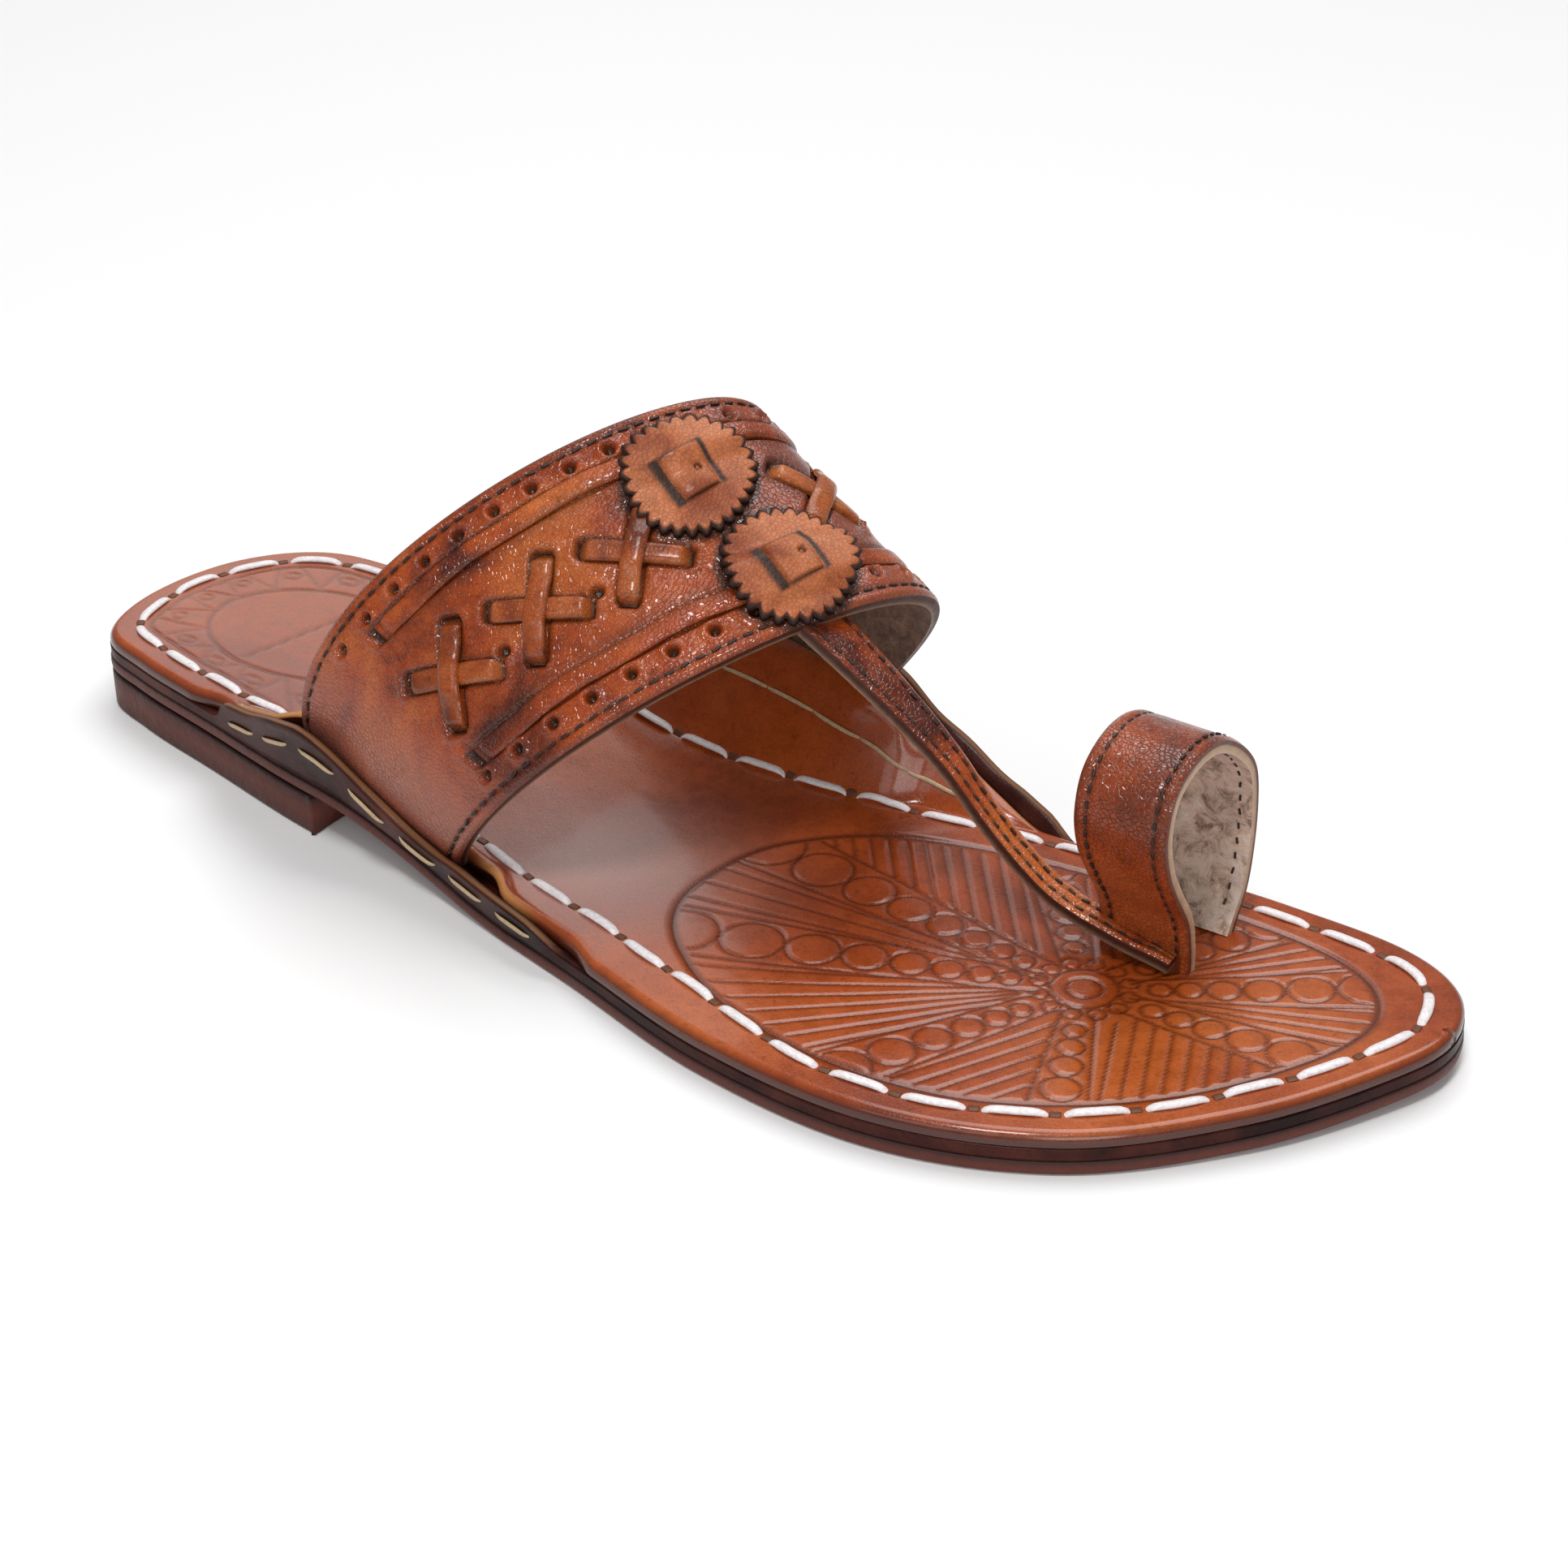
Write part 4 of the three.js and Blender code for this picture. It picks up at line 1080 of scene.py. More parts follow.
# Band: a dense sheet with punched holes, slots and furrows, leather outside, suede inside and a cut edge
bandLook = {"colors": ((0.09, 0.011, 0.003), (0.36, 0.054, 0.006), (0.52, 0.12, 0.02)), "patch": 34,
            "spread": (0.37, 0.49, 0.64), "rough": (0.2, 0.4), "pores": 0.62, "coat": 0.45, "glints": True,
            "edgeColor": (0.1, 0.022, 0.008), "wearSheenColor": (0.24, 0.09, 0.07)}
bandLeather = leather("band_leather", **bandLook)
bandCut = stackEdge("band_cut_edge", ((0.0, (0.12, 0.03, 0.014)), (0.35, (0.045, 0.016, 0.011)),
                                      (0.6, (0.1, 0.045, 0.03)), (1.0, (0.3, 0.19, 0.12))), 0.3)
lining = rawLeather("suede_lining", ((0.07, 0.032, 0.018), (0.17, 0.09, 0.05), (0.32, 0.2, 0.12)))
# Places on the band: around runs from 0 at the lateral foot to 1 at the medial one, back from 0 at the rear
# edge to 1 at the front edge. A strip's deeper groove, with the darker painted shade, lies on its front side
# with free 1, its rear with -1.
strips = (
    {"name": "woven_strip_front", "node": "strip_front", "back": 0.816, "span": (0.16, 0.84), "free": 1},
    {"name": "woven_strip_rear", "node": "strip_rear", "back": 0.168, "span": (0.185, 0.815), "free": -1},
)
crosses = ((0.205, 0.506), (0.305, 0.502), (0.405, 0.496), (0.595, 0.496), (0.695, 0.502), (0.795, 0.506))
rosettes = {"rear": (0.485, 0.317), "front": (0.51, 0.789)}
bandRows = {"frontStitch": 2.3, "frontHoles": 5.5, "rearStitch": 1.9, "rearHoles": 4.4, "span": (-0.01, 1.02)}
between = ((0.255, 0.56), (0.355, 0.565), (0.645, 0.565), (0.745, 0.56))
punched = {"pitch": 7.1, "radius": 1.2, "between": 1.15, "ends": (0.152, 0.85), "run": 0.7, "depth": 1.8,
           "lip": 0.42, "lipWidth": 0.45, "dark": 0.97}
bandForm = {"columns": 380, "lines": 110, "stripHalf": 1.8, "furrow": 0.5, "deepest": -2.0, "highest": 0.9,
            "rim": 0.55, "edgeFall": 0.55, "stitchGroove": 0.3, "rosetteShade": 11.6, "crossReach": 9.3,
            "crossSlot": 9.5, "crossGroove": 2.05}
# Soft waves of the band, by place round it and height, and pale patches of wear and painted sheen, by place,
# reach and strength
waves = ((0.12, 0.5), (0.3, 0.35), (0.52, 0.3), (0.86, 0.45))
wearSheenPlaces = ((0.06, 0.07, 0.7), (0.6, 0.09, 0.35))
around, back = np.meshgrid(np.linspace(0, 1, bandForm["columns"] + 1),
                           np.linspace(*bandRows["span"], bandForm["lines"] + 1), indexing="ij")
middle, bandNormal, bandRun, bandAcross = onBand(around, back)
runLength = np.linalg.norm(bandRun, axis=-1)


# Width of the band square to its run
def squareWidth(run, across):
    return np.linalg.norm(np.cross(across, run), axis=-1) / np.linalg.norm(run, axis=-1)


acrossWidth = squareWidth(bandRun, bandAcross)


# Offsets in millimetres of every grid place from a spot: round the band, and towards its front
def bandDistance(spot):
    run, front = onBand(spot[0], spot[1])[2:]
    dx = (around - spot[0]) * np.linalg.norm(run)
    shear = float(run @ front) / (np.linalg.norm(run) * np.linalg.norm(front))
    return dx, (back - spot[1]) * np.linalg.norm(front) + dx * shear


# Where a row lies across the band, from its distance to the front or rear edge
def rowBack(row, at):
    share = bandRows[row] / squareWidth(*onBand(at, 0.5)[2:])
    return bandRows["span"][1] - share if row.startswith("front") else bandRows["span"][0] + share


relief, pressShade = np.zeros((2, *around.shape))
holeSpots = []
for row, edge in (("frontHoles", frontEdge), ("rearHoles", rearEdge)):
    count = round(punched["run"] * edge["length"] / punched["pitch"])
    holeSpots += [(a, float(rowBack(row, a)), 1.0) for a in np.linspace(*punched["ends"], count)]
holeSpots += [(a, b, punched["between"]) for a, b in between]
for a, b, size in holeSpots:
    far = np.hypot(*bandDistance((a, b)))
    radius = punched["radius"] * size
    relief -= punched["depth"] * (1 - smoothStep((far - radius * 0.4) / (radius * 0.7)))
    relief += punched["lip"] * bell(far - radius * 1.45, punched["lipWidth"])
    # Each hole's middle painted dark as the shade inside it
    pressShade = np.maximum(pressShade, punched["dark"] * (1 - smoothStep((far - radius * 0.5) / (radius * 0.45))))


# The slit that an end goes down into, painted dark as the shade in it, with the leather puckered round it
def slotMark(run, off, end, wide):
    hole = bell(run - end, 0.75, 4) * (1 - smoothStep((off - wide) / 0.5))
    crease = np.hypot(np.maximum(run - end - 0.5, 0), np.maximum(off - wide, 0))
    pucker = 0.3 * bell(crease - 1.0, 0.6) * smoothStep((run - end + 0.6) / 0.8)
    return hole, pucker - 1.3 * hole


half, furrow = bandForm["stripHalf"], bandForm["furrow"]
for strip in strips:
    start, end = strip["span"]
    signed = (back - strip["back"]) * acrossWidth * strip["free"]
    offset = np.abs(signed)
    within = smoothStep((around - start + 0.004) / 0.008) * smoothStep((end + 0.004 - around) / 0.008)
    beside = bell(offset - half - 0.12, 0.34)
    relief -= within * furrow * (beside + (offset < half))
    # Painted shade in the furrows beside the strip, deeper on its free side, and a wide soft darkening on its
    # other side
    pressShade = np.maximum(pressShade, within * np.where(signed > 0, 0.95, 0.5) * beside)
    pressShade = np.maximum(pressShade, within * 0.45 * bell(offset - half, 2.4) * (signed < 0))
    for place, way in ((start, -1), (end, 1)):
        hole, pucker = slotMark(way * (around - place) * runLength, offset, 0.5, half - 0.1)
        pressShade = np.maximum(pressShade, hole)
        relief += pucker
for spot in crosses:
    dx, dy = bandDistance(spot)
    for way in (1, -1):
        run, off = (dx + way * dy) * math.sqrt(0.5), np.abs(-way * dx + dy) * math.sqrt(0.5)
        within = 1 - smoothStep((np.abs(run) - bandForm["crossReach"]) / 0.6)
        beside = bell(off - bandForm["crossGroove"], 0.36) * within
        # Painted shade in the grooves beside each arm, and a soft painted shadow along it
        pressShade = np.maximum(pressShade, 0.92 * beside)
        relief -= furrow * beside + 0.45 * within * (1 - smoothStep((off - 1.6) / 0.5))
        shadow = 0.33 * bell(off, 3.2) * (1 - smoothStep((np.abs(run) - 9) / 4))
        pressShade = np.maximum(pressShade, shadow)
        hole, pucker = slotMark(np.abs(run), off, bandForm["crossSlot"], 1.5)
        pressShade = np.maximum(pressShade, hole)
        relief += pucker
for spot in rosettes.values():
    far = np.hypot(*bandDistance(spot))
    # Painted shade on the band round each rosette, under its edge
    pressShade = np.maximum(pressShade, 0.85 * (1 - smoothStep((far - bandForm["rosetteShade"]) / 1.3)))
for row in ("frontStitch", "rearStitch"):
    offset = np.abs(back - rowBack(row, around)) * acrossWidth
    relief -= bandForm["stitchGroove"] * bell(offset, 0.5)
    # Painted shade in the stitch groove
    pressShade = np.maximum(pressShade, 0.6 * bell(offset, 0.4))
edgeOffset = np.minimum(back - bandRows["span"][0], bandRows["span"][1] - back) * acrossWidth
relief -= bandForm["edgeFall"] * bell(edgeOffset, 0.45)
for where, height in waves:
    relief += height * bell(around - where, 0.05) * np.sin(back * 9 + where * 20) * 0.6
relief = np.clip(relief, bandForm["deepest"], bandForm["highest"])
outer = middle + bandNormal * (bandThickness / 2 + relief)[..., None]
innerSide = middle - bandNormal * bandThickness / 2
rim = bandForm["rim"] * bell(edgeOffset, 0.7)
wearSheen = np.maximum(*(share * bell(around - place, reach) for place, reach, share in wearSheenPlaces))


# Closed sheet: the outer grid, the inner grid and a cut edge between them on points of its own
def sheetPiece(name, outerGrid, innerGrid, materials, values, edgeSlot=1, innerSlot=2):
    rows, columns = outerGrid.shape[:2]
    count = rows * columns
    grid = np.arange(count).reshape(rows, columns)
    border = np.concatenate([grid[:, 0], grid[-1, 1:], grid[-2::-1, -1], grid[0, -2:0:-1]])
    n = len(border)
    outerPoints, innerPoints = outerGrid.reshape(-1, 3), innerGrid.reshape(-1, 3)
    points = np.concatenate([outerPoints, innerPoints, outerPoints[border], innerPoints[border]])
    faces = gridFaces(rows, columns, flip=True).tolist() + gridFaces(rows, columns, start=count).tolist()
    slots = np.repeat((0, innerSlot, edgeSlot), ((rows - 1) * (columns - 1), (rows - 1) * (columns - 1), n))
    for i in range(n):
        j = (i + 1) % n
        faces.append([2 * count + i, 2 * count + j, 2 * count + n + j, 2 * count + n + i])
    pointValues = {"level": np.append(np.zeros(2 * count + n), np.ones(n))}
    for key, gridValues in values.items():
        pointValues[key] = np.append(np.asarray(gridValues, float).ravel(), np.zeros(count + 2 * n))
    return makePiece(name, points, faces, materials, slots, pointValues)


band = sheetPiece("instep_band", outer, innerSide, [bandLeather, bandCut, lining],
                  {"pressShade": pressShade, "rim": rim, "wearSheen": wearSheen})

# Toe loop: a strap bent round the big toe, its line given as shares of its width and rise
loopLook = {"colors": ((0.12, 0.018, 0.003), (0.35, 0.056, 0.009), (0.52, 0.12, 0.028)),
            "rough": (0.25, 0.45), "pores": 0.85, "coat": 0.5, "glints": True,
            "edgeColor": (0.12, 0.025, 0.009)}
loopLeather = leather("loop_leather", **loopLook)
loopCut = stackEdge("loop_cut_edge", ((0.0, (0.16, 0.035, 0.014)), (0.28, (0.13, 0.034, 0.016)),
                                      (0.42, (0.5, 0.31, 0.18)), (1.0, (0.66, 0.47, 0.32))), 0.25)
# Suede of the loop's inside, paler than its own tone: painted light on its shaded inner face
paleSuedeLit = rawLeather("pale_suede_painted_light", ((0.24, 0.13, 0.075), (0.84, 0.63, 0.49), (1.0, 0.88, 0.78)), 270, 0.002)
loopSize = {"width": 35.3, "rise": 41.8, "strap": 16.5, "thickness": 2.6, "along": 0.306, "across": 0.205,
            "seam": 2.2, "sway": 0.4, "flare": 0.35}
loopAcross = (-0.156, -0.161, -0.215, -0.348, -0.459, -0.5, -0.432, -0.235, 0.03, 0.303, 0.459, 0.5, 0.482,
              0.43, 0.33, 0.29)
loopUp = (-0.03, 0.06, 0.234, 0.407, 0.572, 0.742, 0.909, 0.995, 0.985, 0.849, 0.694, 0.514, 0.3, 0.144, 0.02,
          -0.03)
loopBase = np.array((loopSize["along"] * soleLength, loopSize["across"] * ballWidth, footbedTop))


# Smooth line through points, in even steps between each pair, with centripetal spacing
def openCurve(points, count=24):
    p = np.asarray(points, float)
    p = np.concatenate([[2 * p[0] - p[1]], p, [2 * p[-1] - p[-2]]])
    rows = []
    for i in range(1, len(p) - 2):
        q = p[i - 1: i + 3]
        k = np.append(0, np.cumsum(np.sqrt(stepsOf(q))))
        t = np.linspace(k[1], k[2], count, endpoint=False)[:, None]
        a = [mix(q[j], q[j + 1], (t - k[j]) / (k[j + 1] - k[j])) for j in range(3)]
        b = [mix(a[j], a[j + 1], (t - k[j]) / (k[j + 2] - k[j])) for j in range(2)]
        rows.append(mix(b[0], b[1], (t - k[1]) / (k[2] - k[1])))
    return np.concatenate(rows + [p[-2:-1]])


def evenCurve(points, count):
    p = openCurve(points)
    way = wayAlong(p)
    return readLine(np.linspace(0, way[-1], count), way, p), way[-1]


loopPoints = [(0, c * loopSize["width"], u * loopSize["rise"]) for c, u in zip(loopAcross, loopUp)]
loopLine, loopLength = evenCurve(loopPoints, 170)
loopRun = unit(np.gradient(loopLine, axis=0))
loopNormal = np.stack([np.zeros(len(loopLine)), -loopRun[:, 2], loopRun[:, 1]], 1)
loopSway = loopSize["sway"] * np.sin(np.linspace(0, 7, len(loopLine)))
w = np.linspace(-0.5, 0.5, 37)
loopEdge = (0.5 - np.abs(w)) * loopSize["strap"]
fromSeam = loopEdge - loopSize["seam"]
bulge = -0.45 * bell(loopEdge, 0.5) - 0.3 * bell(fromSeam, 0.5)
flare = loopSize["flare"] * np.sin(np.linspace(0, 9, len(loopLine)))[:, None] * w[None, :]
base = loopLine[:, None, :] + loopBase + np.array((1.0, 0, 0)) * (w * loopSize["strap"])[None, :, None]
base[..., 0] += loopSway[:, None]
outerLoop = base + loopNormal[:, None, :] * (bulge + flare)[..., None]
innerLoop = base - loopNormal[:, None, :] * (loopSize["thickness"] - flare)[..., None]
# Painted shade in the seam grooves
loopValues = {"pressShade": np.broadcast_to(0.6 * bell(fromSeam, 0.4), flare.shape),
              "rim": np.broadcast_to(0.7 * bell(loopEdge, 0.45), flare.shape), "wearSheen": np.zeros(flare.shape)}
loopPiece = sheetPiece("toe_loop", outerLoop, innerLoop, [loopLeather, loopCut, paleSuedeLit], loopValues)

# Thong: narrows and turns on edge towards the loop's foot
thongSize = {"top": 10, "end": 4.8, "thickness": 2.6, "twist": 10, "join": 0.8, "narrowed": 0.55, "seam": 1.4,
             "stitchIn": 1.3, "start": (0.505, 0.88), "lowAlong": 0.36}
# Share of the way from the band to the loop's foot, and how far the thong dips below the straight line there
thongWays = (0, 0.2, 0.4, 0.55, 0.7, 0.85, 1)
thongDips = (0, 0.003, 0.025, 0.075, 0.09, 0.05, 0)
below = thongSize["join"] - (bandThickness + thongSize["thickness"]) / 2
thongHigh = onBand(*thongSize["start"], below)[0]
twist = math.radians(thongSize["twist"])
thongRise = (thongSize["thickness"] * math.cos(twist) + thongSize["end"] * math.sin(twist)) / 2 + clearance
footAcross = loopAcross[1] * loopSize["width"] - thongSize["end"] / 2
footAcross += loopSize["thickness"] - thongSize["join"]
thongLow = loopBase + np.array((thongSize["lowAlong"] * loopSize["strap"], footAcross, thongRise))
dipDepth = np.linalg.norm(thongLow - thongHigh)
thongPoints = [mix(thongHigh, thongLow, way) - np.array((0, 0, dip * dipDepth))
               for way, dip in zip(thongWays, thongDips)]
thongLine, thongLength = evenCurve(thongPoints, 150)
thongRun = unit(np.gradient(thongLine, axis=0))
flatWay = unit(np.array((0, 1, 0)) - thongRun * thongRun[:, 1:2])
share = np.linspace(0, 1, len(thongLine))
angle = twist * smoothStep(share)
thongReach = flatWay * np.cos(angle)[:, None] + np.cross(thongRun, flatWay) * np.sin(angle)[:, None]
thongNormal = np.cross(thongRun, thongReach)
thongWidth = mix(thongSize["top"], thongSize["end"], smoothStep(share / thongSize["narrowed"]))
thongWidth *= 1 - 0.25 * smoothStep((share - 0.86) / 0.14)
w = np.linspace(-0.5, 0.5, 25)
offEdge = (0.5 - np.abs(w))[None, :] * thongWidth[:, None]
fromSeam = offEdge - thongSize["seam"]
crown = -0.4 * bell(offEdge, 0.45) - 0.25 * bell(fromSeam, 0.4)
crown += 0.15 * np.sin(share * 60)[:, None] * bell(w[None, :], 0.3)
base = thongLine[:, None, :] + thongReach[:, None, :] * (w[None, :] * thongWidth[:, None])[..., None]
outerThong = base + thongNormal[:, None, :] * (thongSize["thickness"] / 2 + crown)[..., None]
innerThong = base - thongNormal[:, None, :] * (thongSize["thickness"] / 2)
# Painted shade in the seam grooves
thongValues = {"pressShade": 0.6 * bell(fromSeam, 0.35)[:, ::-1], "rim": 0.35 * bell(offEdge, 0.4)[:, ::-1],
               "wearSheen": np.zeros(offEdge.shape)}
thongLooks = [bandLeather, bandCut, lining]
thong = sheetPiece("thong", outerThong[:, ::-1], innerThong[:, ::-1], thongLooks, thongValues)
for piece in (band, loopPiece, thong):
    ridden(piece, "upper_leather", "upper")
bandSizes = round(frontEdge["length"], 1), round(rearEdge["length"], 1), round(float(acrossWidth[120, 50]), 1)
print("upper made; band", bandSizes[0], "mm round in front and", bandSizes[1], "at the back,", bandSizes[2],
      "across; loop", round(float(loopLength), 1), "thong", round(float(thongLength), 1))


# Stitch rows of the band, thong and loop, with their bars sunk into the leather's face
darkThread = threadMaterial("dark_thread", (0.026, 0.008, 0.005), 0.5)
bandStitch = {"pitch": 2.9, "size": (1.8, 0.5, 0.5), "stir": 0.2, "sink": 0.12, "thread": darkThread}
loopStitch = {"pitch": 2.7, "size": (1.35, 0.55, 0.45), "stir": 0.25, "sink": 0.15, "thread": darkThread}
insideStitch = {"pitch": 2.7, "size": (1.2, 0.4, 0.4), "stir": 0.25, "sink": 0, "thread": darkThread}
thongStitch = {"pitch": 2.8, "size": (1.5, 0.5, 0.5), "stir": 0.25, "sink": 0.12, "thread": darkThread}


# A row of stitches along a line whose normals are known at each of its points
def seam(name, line, normals, row):
    places, headings, share = evenly(line, row["pitch"])
    ups = readLine(share, np.linspace(0, 1, len(line)), normals)
    stitchRow(name, places - ups * row["sink"], headings, ups, row, "upper_leather")


for name in ("frontStitch", "rearStitch"):
    a = np.linspace(0.02, 0.98, 500)
    line, normal = onBand(a, rowBack(name, a), bandThickness / 2)[:2]
    places, headings, share = evenly(line, bandStitch["pitch"])
    ups = readLine(share, a, normal)
    stitchRow("band_" + name, places - ups * bandStitch["sink"], headings, ups, bandStitch, "upper_leather")
seamOff = loopSize["strap"] / 2 - loopSize["seam"]
for k, way in enumerate((-1, 1)):
    line = loopLine + loopBase + np.array((way * seamOff, 0, 0))
    line[:, 0] += loopSway
    seam(f"loop_stitches_{k + 1}", line[6:-6], loopNormal[6:-6], loopStitch)
line = loopLine + loopBase - loopNormal * (loopSize["thickness"] + 0.05)
line[:, 0] += loopSway + seamOff
seam("loop_stitches_inside", line[10:-6], -loopNormal[10:-6], insideStitch)
for k, way in enumerate((-1, 1)):
    line = thongLine + thongReach * (way * (thongWidth / 2 - thongSize["stitchIn"]))[:, None]
    line += thongNormal * thongSize["thickness"] / 2
    seam(f"thong_stitches_{k + 1}", line[8:-4], thongNormal[8:-4], thongStitch)
print("upper stitches made")


# Woven strips and crosses: rounded straps whose ends go down into slots
stripForm = {"width": 3.6, "sunk": 0.45, "crown": 1.0, "round": 0.45, "dive": 1.7, "diveRun": 3.0}
crossForm = {"reach": 9.7, "half": 1.9, "sunk": 0.45, "crown": 1.2, "round": 0.5, "dive": 2.0, "diveRun": 2.0,
             "overRise": 0.35, "hump": 0.95, "underSway": -0.15, "overSway": 0.25}
trimLook = {"colors": ((0.14, 0.022, 0.004), (0.35, 0.07, 0.012), (0.5, 0.15, 0.04)), "rough": (0.22, 0.42),
            "pores": 0.6, "coat": 0.4, "patch": 60, "edgeColor": (0.03, 0.008, 0.004)}
trimLeather = leather("trim_leather", **trimLook)


# Strap over the band between a lower height and a thickness above it, both given on the grid
def strapPiece(name, aroundGrid, backGrid, low, thickness, material, pressShade, node=None, slot="trim_leather"):
    top = onBand(aroundGrid, backGrid, low + thickness)[0]
    under = onBand(aroundGrid, backGrid, low)[0]
    plain = np.zeros(pressShade.shape)
    piece = sheetPiece(name, top, under, [material], {"pressShade": pressShade, "rim": plain, "wearSheen": plain}, 0, 0)
    return ridden(piece, slot, *([node] if node else []))


face = bandThickness / 2
for strip in strips:
    start, end = strip["span"]
    along, v = np.meshgrid(np.linspace(0, 1, 261), np.linspace(-1, 1, 13), indexing="ij")
    a = mix(start, end, along)
    wander = 0.25 * np.sin(along * 31) + 0.2 * np.sin(along * 13 + 1)
    b = strip["back"] + (v * stripForm["width"] / 2 + wander) / squareWidth(*onBand(a, strip["back"])[2:])
    fromEnd = np.minimum(along, 1 - along) * (end - start) * runLength.mean()
    dive = stripForm["dive"] * (1 - smoothStep(fromEnd / stripForm["diveRun"]))
    crown = stripForm["crown"] - stripForm["round"] * np.abs(v) ** 6 + 0.06 * np.sin(along * 75)
    # Painted shade where the ends dive into the slots, darker sides, a little darker on the half away from
    # the free side
    strapShade = 0.85 * (1 - smoothStep(fromEnd / 1.6)) + 0.35 * smoothStep((np.abs(v) - 0.8) / 0.2)
    strapShade = np.maximum(np.clip(strapShade, 0, 1), 0.25 * smoothStep(-v * strip["free"] + 0.2))
    low = face - stripForm["sunk"] - dive
    strapPiece(strip["name"], a, b, low, crown, bandLeather, strapShade, strip["node"])
reach = crossForm["reach"]
run, v = np.meshgrid(np.linspace(-reach, reach, 61), np.linspace(-1, 1, 11), indexing="ij")
fromEnd = reach - np.abs(run)
waist = 1 - 0.15 * (np.abs(run) / reach) ** 6
crown = crossForm["crown"] - crossForm["round"] * np.abs(v) ** 4
dive = crossForm["dive"] * (1 - smoothStep(fromEnd / crossForm["diveRun"]))
# Painted shade where the arms' ends go into their slits, and darker along their sides
strapShade = 0.95 * (1 - smoothStep(fromEnd / 0.9)) + 0.4 * smoothStep((np.abs(v) - 0.8) / 0.2)
strapShade = np.clip(strapShade, 0, 1)
hump = crossForm["overRise"] + crossForm["hump"] * (1 - smoothStep((np.abs(run) - 1.8) / 4.5))
armLayers = ((1, "under", crossForm["underSway"], 0), (-1, "over", crossForm["overSway"], hump))
for k, spot in enumerate(crosses):
    for way, layer, sway, rise in armLayers:
        off = v * crossForm["half"] * waist + sway * np.sin(run / 4)
        a, b = bandPlace(spot, (run - way * off) * math.sqrt(0.5), (way * run + off) * math.sqrt(0.5))
        low = face - crossForm["sunk"] + rise - dive
        node = f"cross_{k + 1}" if layer == "under" else None
        strapPiece(f"cross_{k + 1}_{layer}", a, b, low, crown, trimLeather, strapShade, node)
print("strips and crosses made")

# Rosettes with a pinked dark edge, and the tab threaded through each
rosetteSize = {"diameter": 23, "thickness": 1.6, "teeth": 28, "tooth": 1.3, "spokesPerTooth": 8,
               "circles": 34, "droop": 0.5, "ripple": 0.2, "darkFrom": 0.905, "dark": 0.97}
# Slits that the tab goes through: distance from the middle, half length, and half widths of the two
slits = {"off": 4.1, "half": 4.4, "wide": 1.1, "narrow": 0.5}
tabForm = {"half": (3.9, 4.1), "sunk": 0.25, "arch": 0.6, "dive": 1.1, "thickness": 0.75, "round": 0.25,
           "hole": 1.6, "holeRadius": 0.4, "holeDepth": 0.8}
rosetteLook = {"colors": ((0.25, 0.05, 0.013), (0.47, 0.135, 0.045), (0.58, 0.2, 0.085)), "patch": 70,
               "pores": 0.6, "rough": (0.4, 0.6), "coat": 0.1, "edgeColor": (0.012, 0.004, 0.003)}
rosetteLeather = leather("rosette_leather", **rosetteLook)


# Height of a rosette's underside over the band's middle, raised where it rides over a strip
def rosetteBase(back, width):
    nearest = np.min([np.abs(strip["back"] - back) for strip in strips], axis=0) * width
    rise = 1 - smoothStep((nearest - stripSize["width"] / 2 - 2 * clearance) / stripSize["width"])
    return face + clearance + rise * (stripSize["thickness"] + clearance)


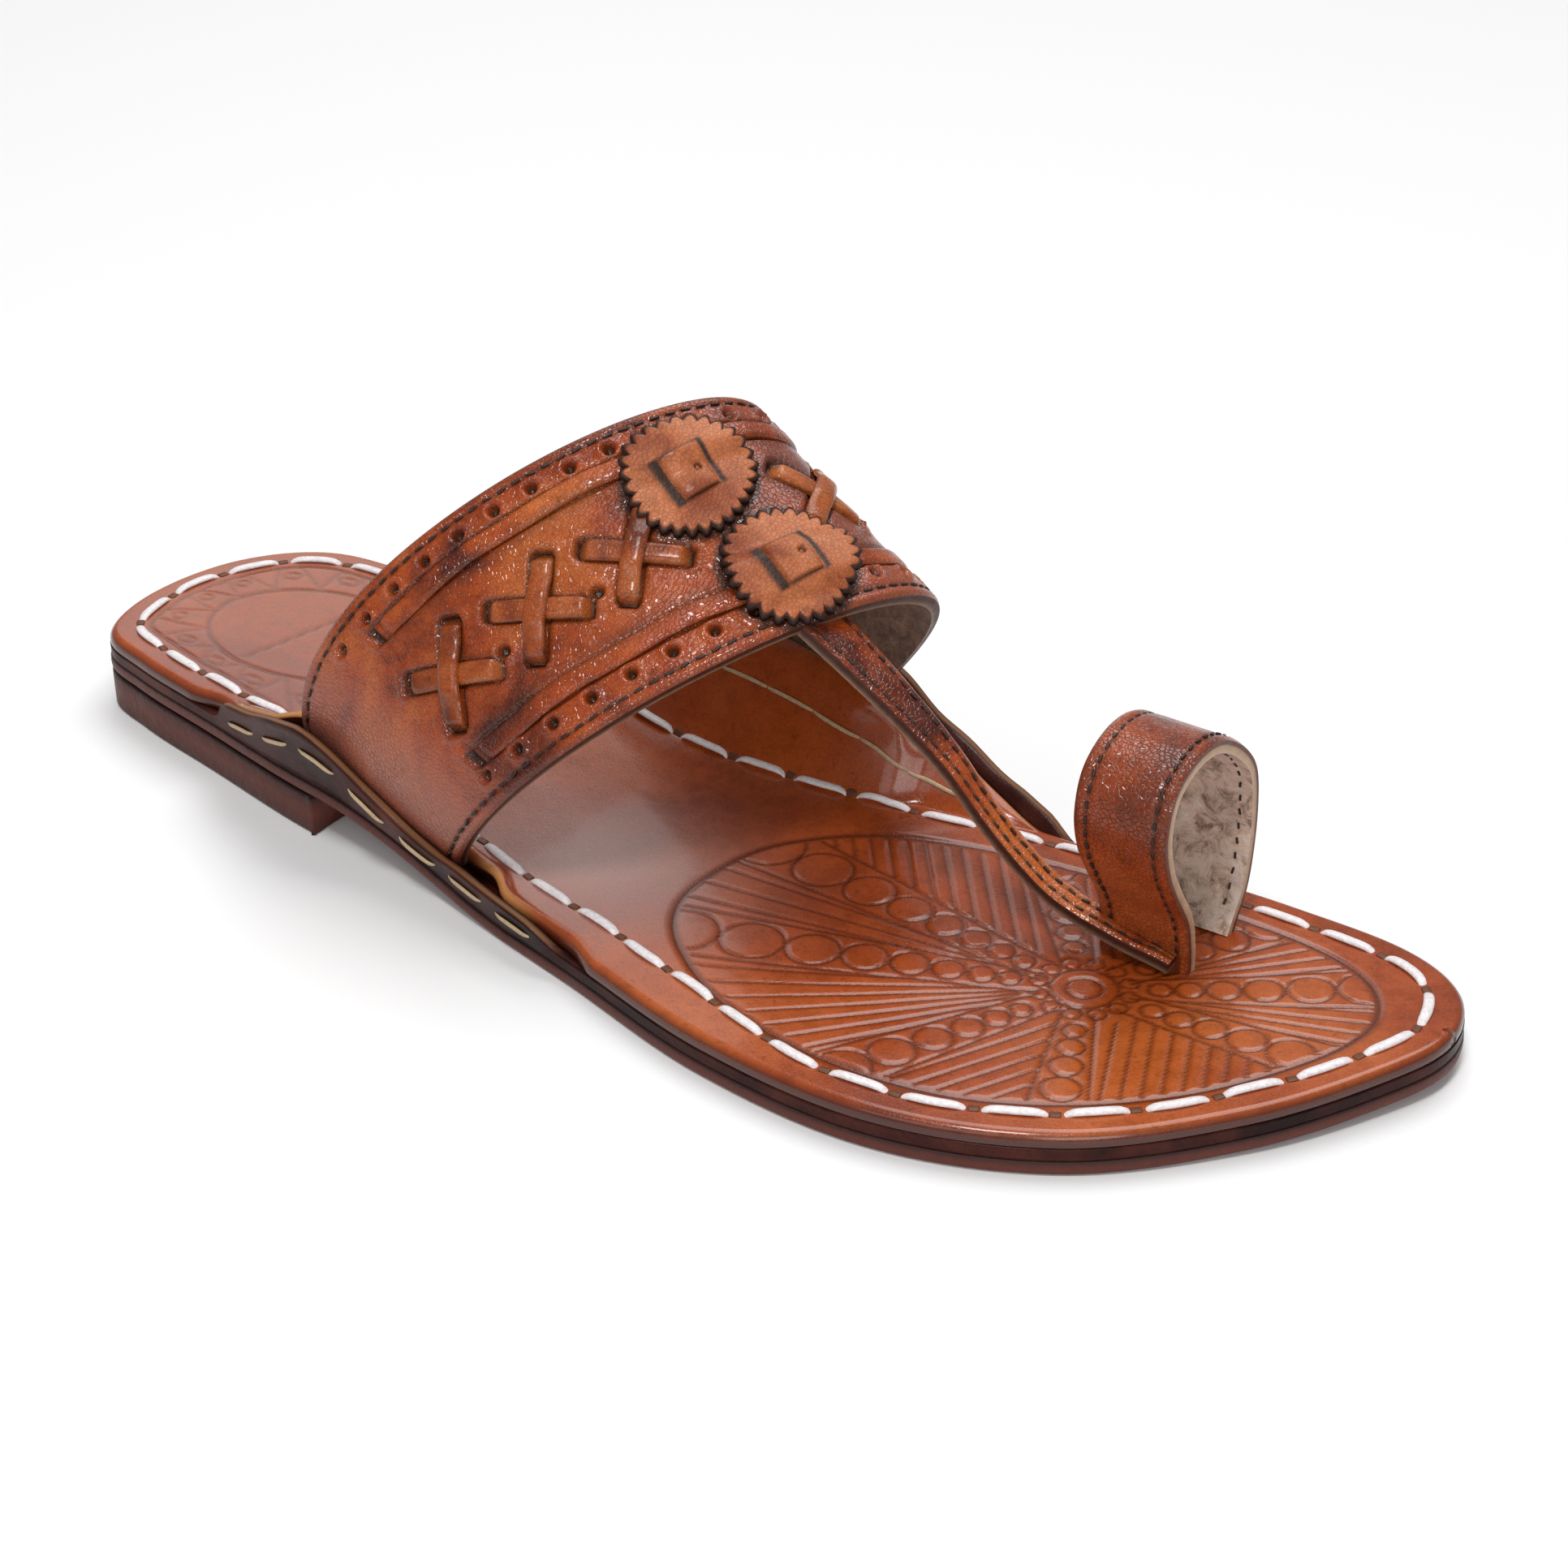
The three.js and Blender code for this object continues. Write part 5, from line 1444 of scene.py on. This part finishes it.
spokes, circles = rosetteSize["teeth"] * rosetteSize["spokesPerTooth"], rosetteSize["circles"]
share = np.linspace(0, 1, circles + 1)[1:]
angle = np.linspace(0, 2 * math.pi, spokes, endpoint=False)
saw = np.abs(np.sin(angle * rosetteSize["teeth"] / 2))
outerRadius = rosetteSize["diameter"] / 2 - rosetteSize["tooth"] * (1 - saw)
wobble = 0.25 * np.sin(angle * 3 + 1) + 0.2 * np.sin(angle * 5)
run, v = np.meshgrid(np.linspace(-1, 1, 31), np.linspace(-1, 1, 21), indexing="ij")
for name, spot in rosettes.items():
    width = float(np.linalg.norm(onBand(*spot)[3]))
    rows = []
    for top in (True, False):
        for s in (share if top else share[::-1]):
            radius = s * (outerRadius + wobble * s)
            a, b = bandPlace(spot, radius * np.cos(angle), radius * np.sin(angle))
            edge = (1 - s) * rosetteSize["diameter"] / 2
            droop = rosetteSize["droop"] * bell(edge, 0.7)
            ripple = rosetteSize["ripple"] * np.sin(angle * 2 + 0.5) * s**2
            height = rosetteBase(b, width) + (rosetteSize["thickness"] - droop if top else 0) + ripple
            rows.append(onBand(a, b, height)[0])
    low = float(rosetteBase(spot[1], width))
    centres = [onBand(*spot, height)[0][None] for height in (low + rosetteSize["thickness"], low)]
    points = np.concatenate(rows + centres)
    faces = gridFaces(len(rows), spokes, wrap=True, flip=True).tolist()
    centreTop, centreLow, last = len(rows) * spokes, len(rows) * spokes + 1, (len(rows) - 1) * spokes
    for i in range(spokes):
        j = (i + 1) % spokes
        faces.append([centreTop, i, j])
        faces.append([centreLow, last + j, last + i])
    rim, pressShade = np.zeros((2, len(points)))
    rim[circles * spokes:] = 1
    for k, s in enumerate(share):
        x, y = s * outerRadius * np.cos(angle), s * outerRadius * np.sin(angle)
        # Painted shade in the slits, and painted shadow lines along the tab's sides
        slit = bell(np.abs(x) - slits["off"], np.where(x < 0, slits["wide"], slits["narrow"]), 4)
        slit *= 1 - smoothStep((np.abs(y) - slits["half"]) / 0.4)
        side = bell(np.abs(y) - 4.35, 0.3) * (np.abs(x) < 4.2)
        circle = slice(k * spokes, (k + 1) * spokes)
        # Black along the pinked edge, its own colour, widened over the top's outer ring as painted shadow of
        # the gap below
        rim[circle] = rosetteSize["dark"] * smoothStep((s - rosetteSize["darkFrom"]) / 0.05)
        pressShade[circle] = np.maximum(slit, 0.75 * side)
    values = {"pressShade": pressShade, "rim": rim, "wearSheen": np.zeros(len(points))}
    rosette = makePiece(f"pinked_rosette_{name}", points, faces, [rosetteLeather], None, values)
    ridden(rosette, "trim_leather", f"rosette_{name}")
    dx, dy = run * tabForm["half"][0], v * tabForm["half"][1]
    a, b = bandPlace(spot, dx, dy)
    low = rosetteBase(b, width) + rosetteSize["thickness"] - tabForm["sunk"]
    low += tabForm["arch"] * np.cos(run * 1.5)
    dive = tabForm["dive"] * smoothStep((np.abs(run) - 0.72) / 0.28)
    far = np.hypot(dx - tabForm["hole"], dy)
    hole = 1 - smoothStep((far - tabForm["holeRadius"]) / tabForm["holeRadius"])
    crown = tabForm["thickness"] - tabForm["round"] * np.abs(v) ** 6 - tabForm["holeDepth"] * hole
    ends, borders = smoothStep((np.abs(run) - 0.9) / 0.1), smoothStep((np.abs(v) - 0.9) / 0.1)
    # Painted shade in the tab's hole and where its ends go into the slits, and darker along its borders
    strapShade = np.clip(hole + 0.9 * ends + 0.6 * borders, 0, 1)
    strapPiece(f"threaded_tab_{name}", a, b, low - dive, crown, rosetteLeather, strapShade,
               f"rosette_{name}_tab", "upper_leather")
print("rosettes made")


# Floor, soft light and a white surround, in metres and watts
floorLook = {"half": 4, "color": (0.89, 0.89, 0.89, 1), "rough": 0.6}
surround = {"color": (1, 1, 1, 1), "strength": 0.25}


def whiteFloor():
    material, shader = newMaterial("floor_white")[::2]
    shader.inputs["Base Color"].default_value = floorLook["color"]
    shader.inputs["Roughness"].default_value = floorLook["rough"]
    half = floorLook["half"]
    corners = [(-half, -half, 0), (half, -half, 0), (half, half, 0), (-half, half, 0)]
    mesh = bpy.data.meshes.new("floor")
    mesh.from_pydata(corners, [], [(0, 1, 2, 3)])
    mesh.materials.append(material)
    floor = bpy.data.objects.new("floor", mesh)
    bpy.context.collection.objects.link(floor)


whiteFloor()
world = bpy.data.worlds.new("studio")
bpy.context.scene.world = world
world.use_nodes = True
world.node_tree.nodes["Background"].inputs["Color"].default_value = surround["color"]
world.node_tree.nodes["Background"].inputs["Strength"].default_value = surround["strength"]
lamps = (
    {"name": "key", "from": (0.16, -0.46, 1.2), "size": (0.26, 0.26), "power": 6.4},
    {"name": "overhead", "from": (-0.1, 0.7, 1.5), "size": (1.1, 1.1), "power": 15.4},
    {"name": "front_fill", "from": (0.1, -1.2, 0.75), "size": (0.8, 0.5), "power": 2.0},
    {"name": "side_fill", "from": (0.85, -0.85, 0.62), "size": (0.5, 0.5), "power": 3.8},
    {"name": "rear_sheen", "from": (-1.03, 0.93, 0.8), "size": (0.75, 0.9), "power": 1.9},
)
for row in lamps:
    lamp = bpy.data.lights.new(row["name"], "AREA")
    lamp.shape = "RECTANGLE"
    lamp.size, lamp.size_y = row["size"]
    lamp.energy = row["power"]
    holder = bpy.data.objects.new(row["name"], lamp)
    bpy.context.collection.objects.link(holder)
    holder.location = row["from"]
    holder.rotation_mode = "QUATERNION"
    holder.rotation_quaternion = (-Vector(row["from"])).to_track_quat("-Z", "Y")

print("scene made")
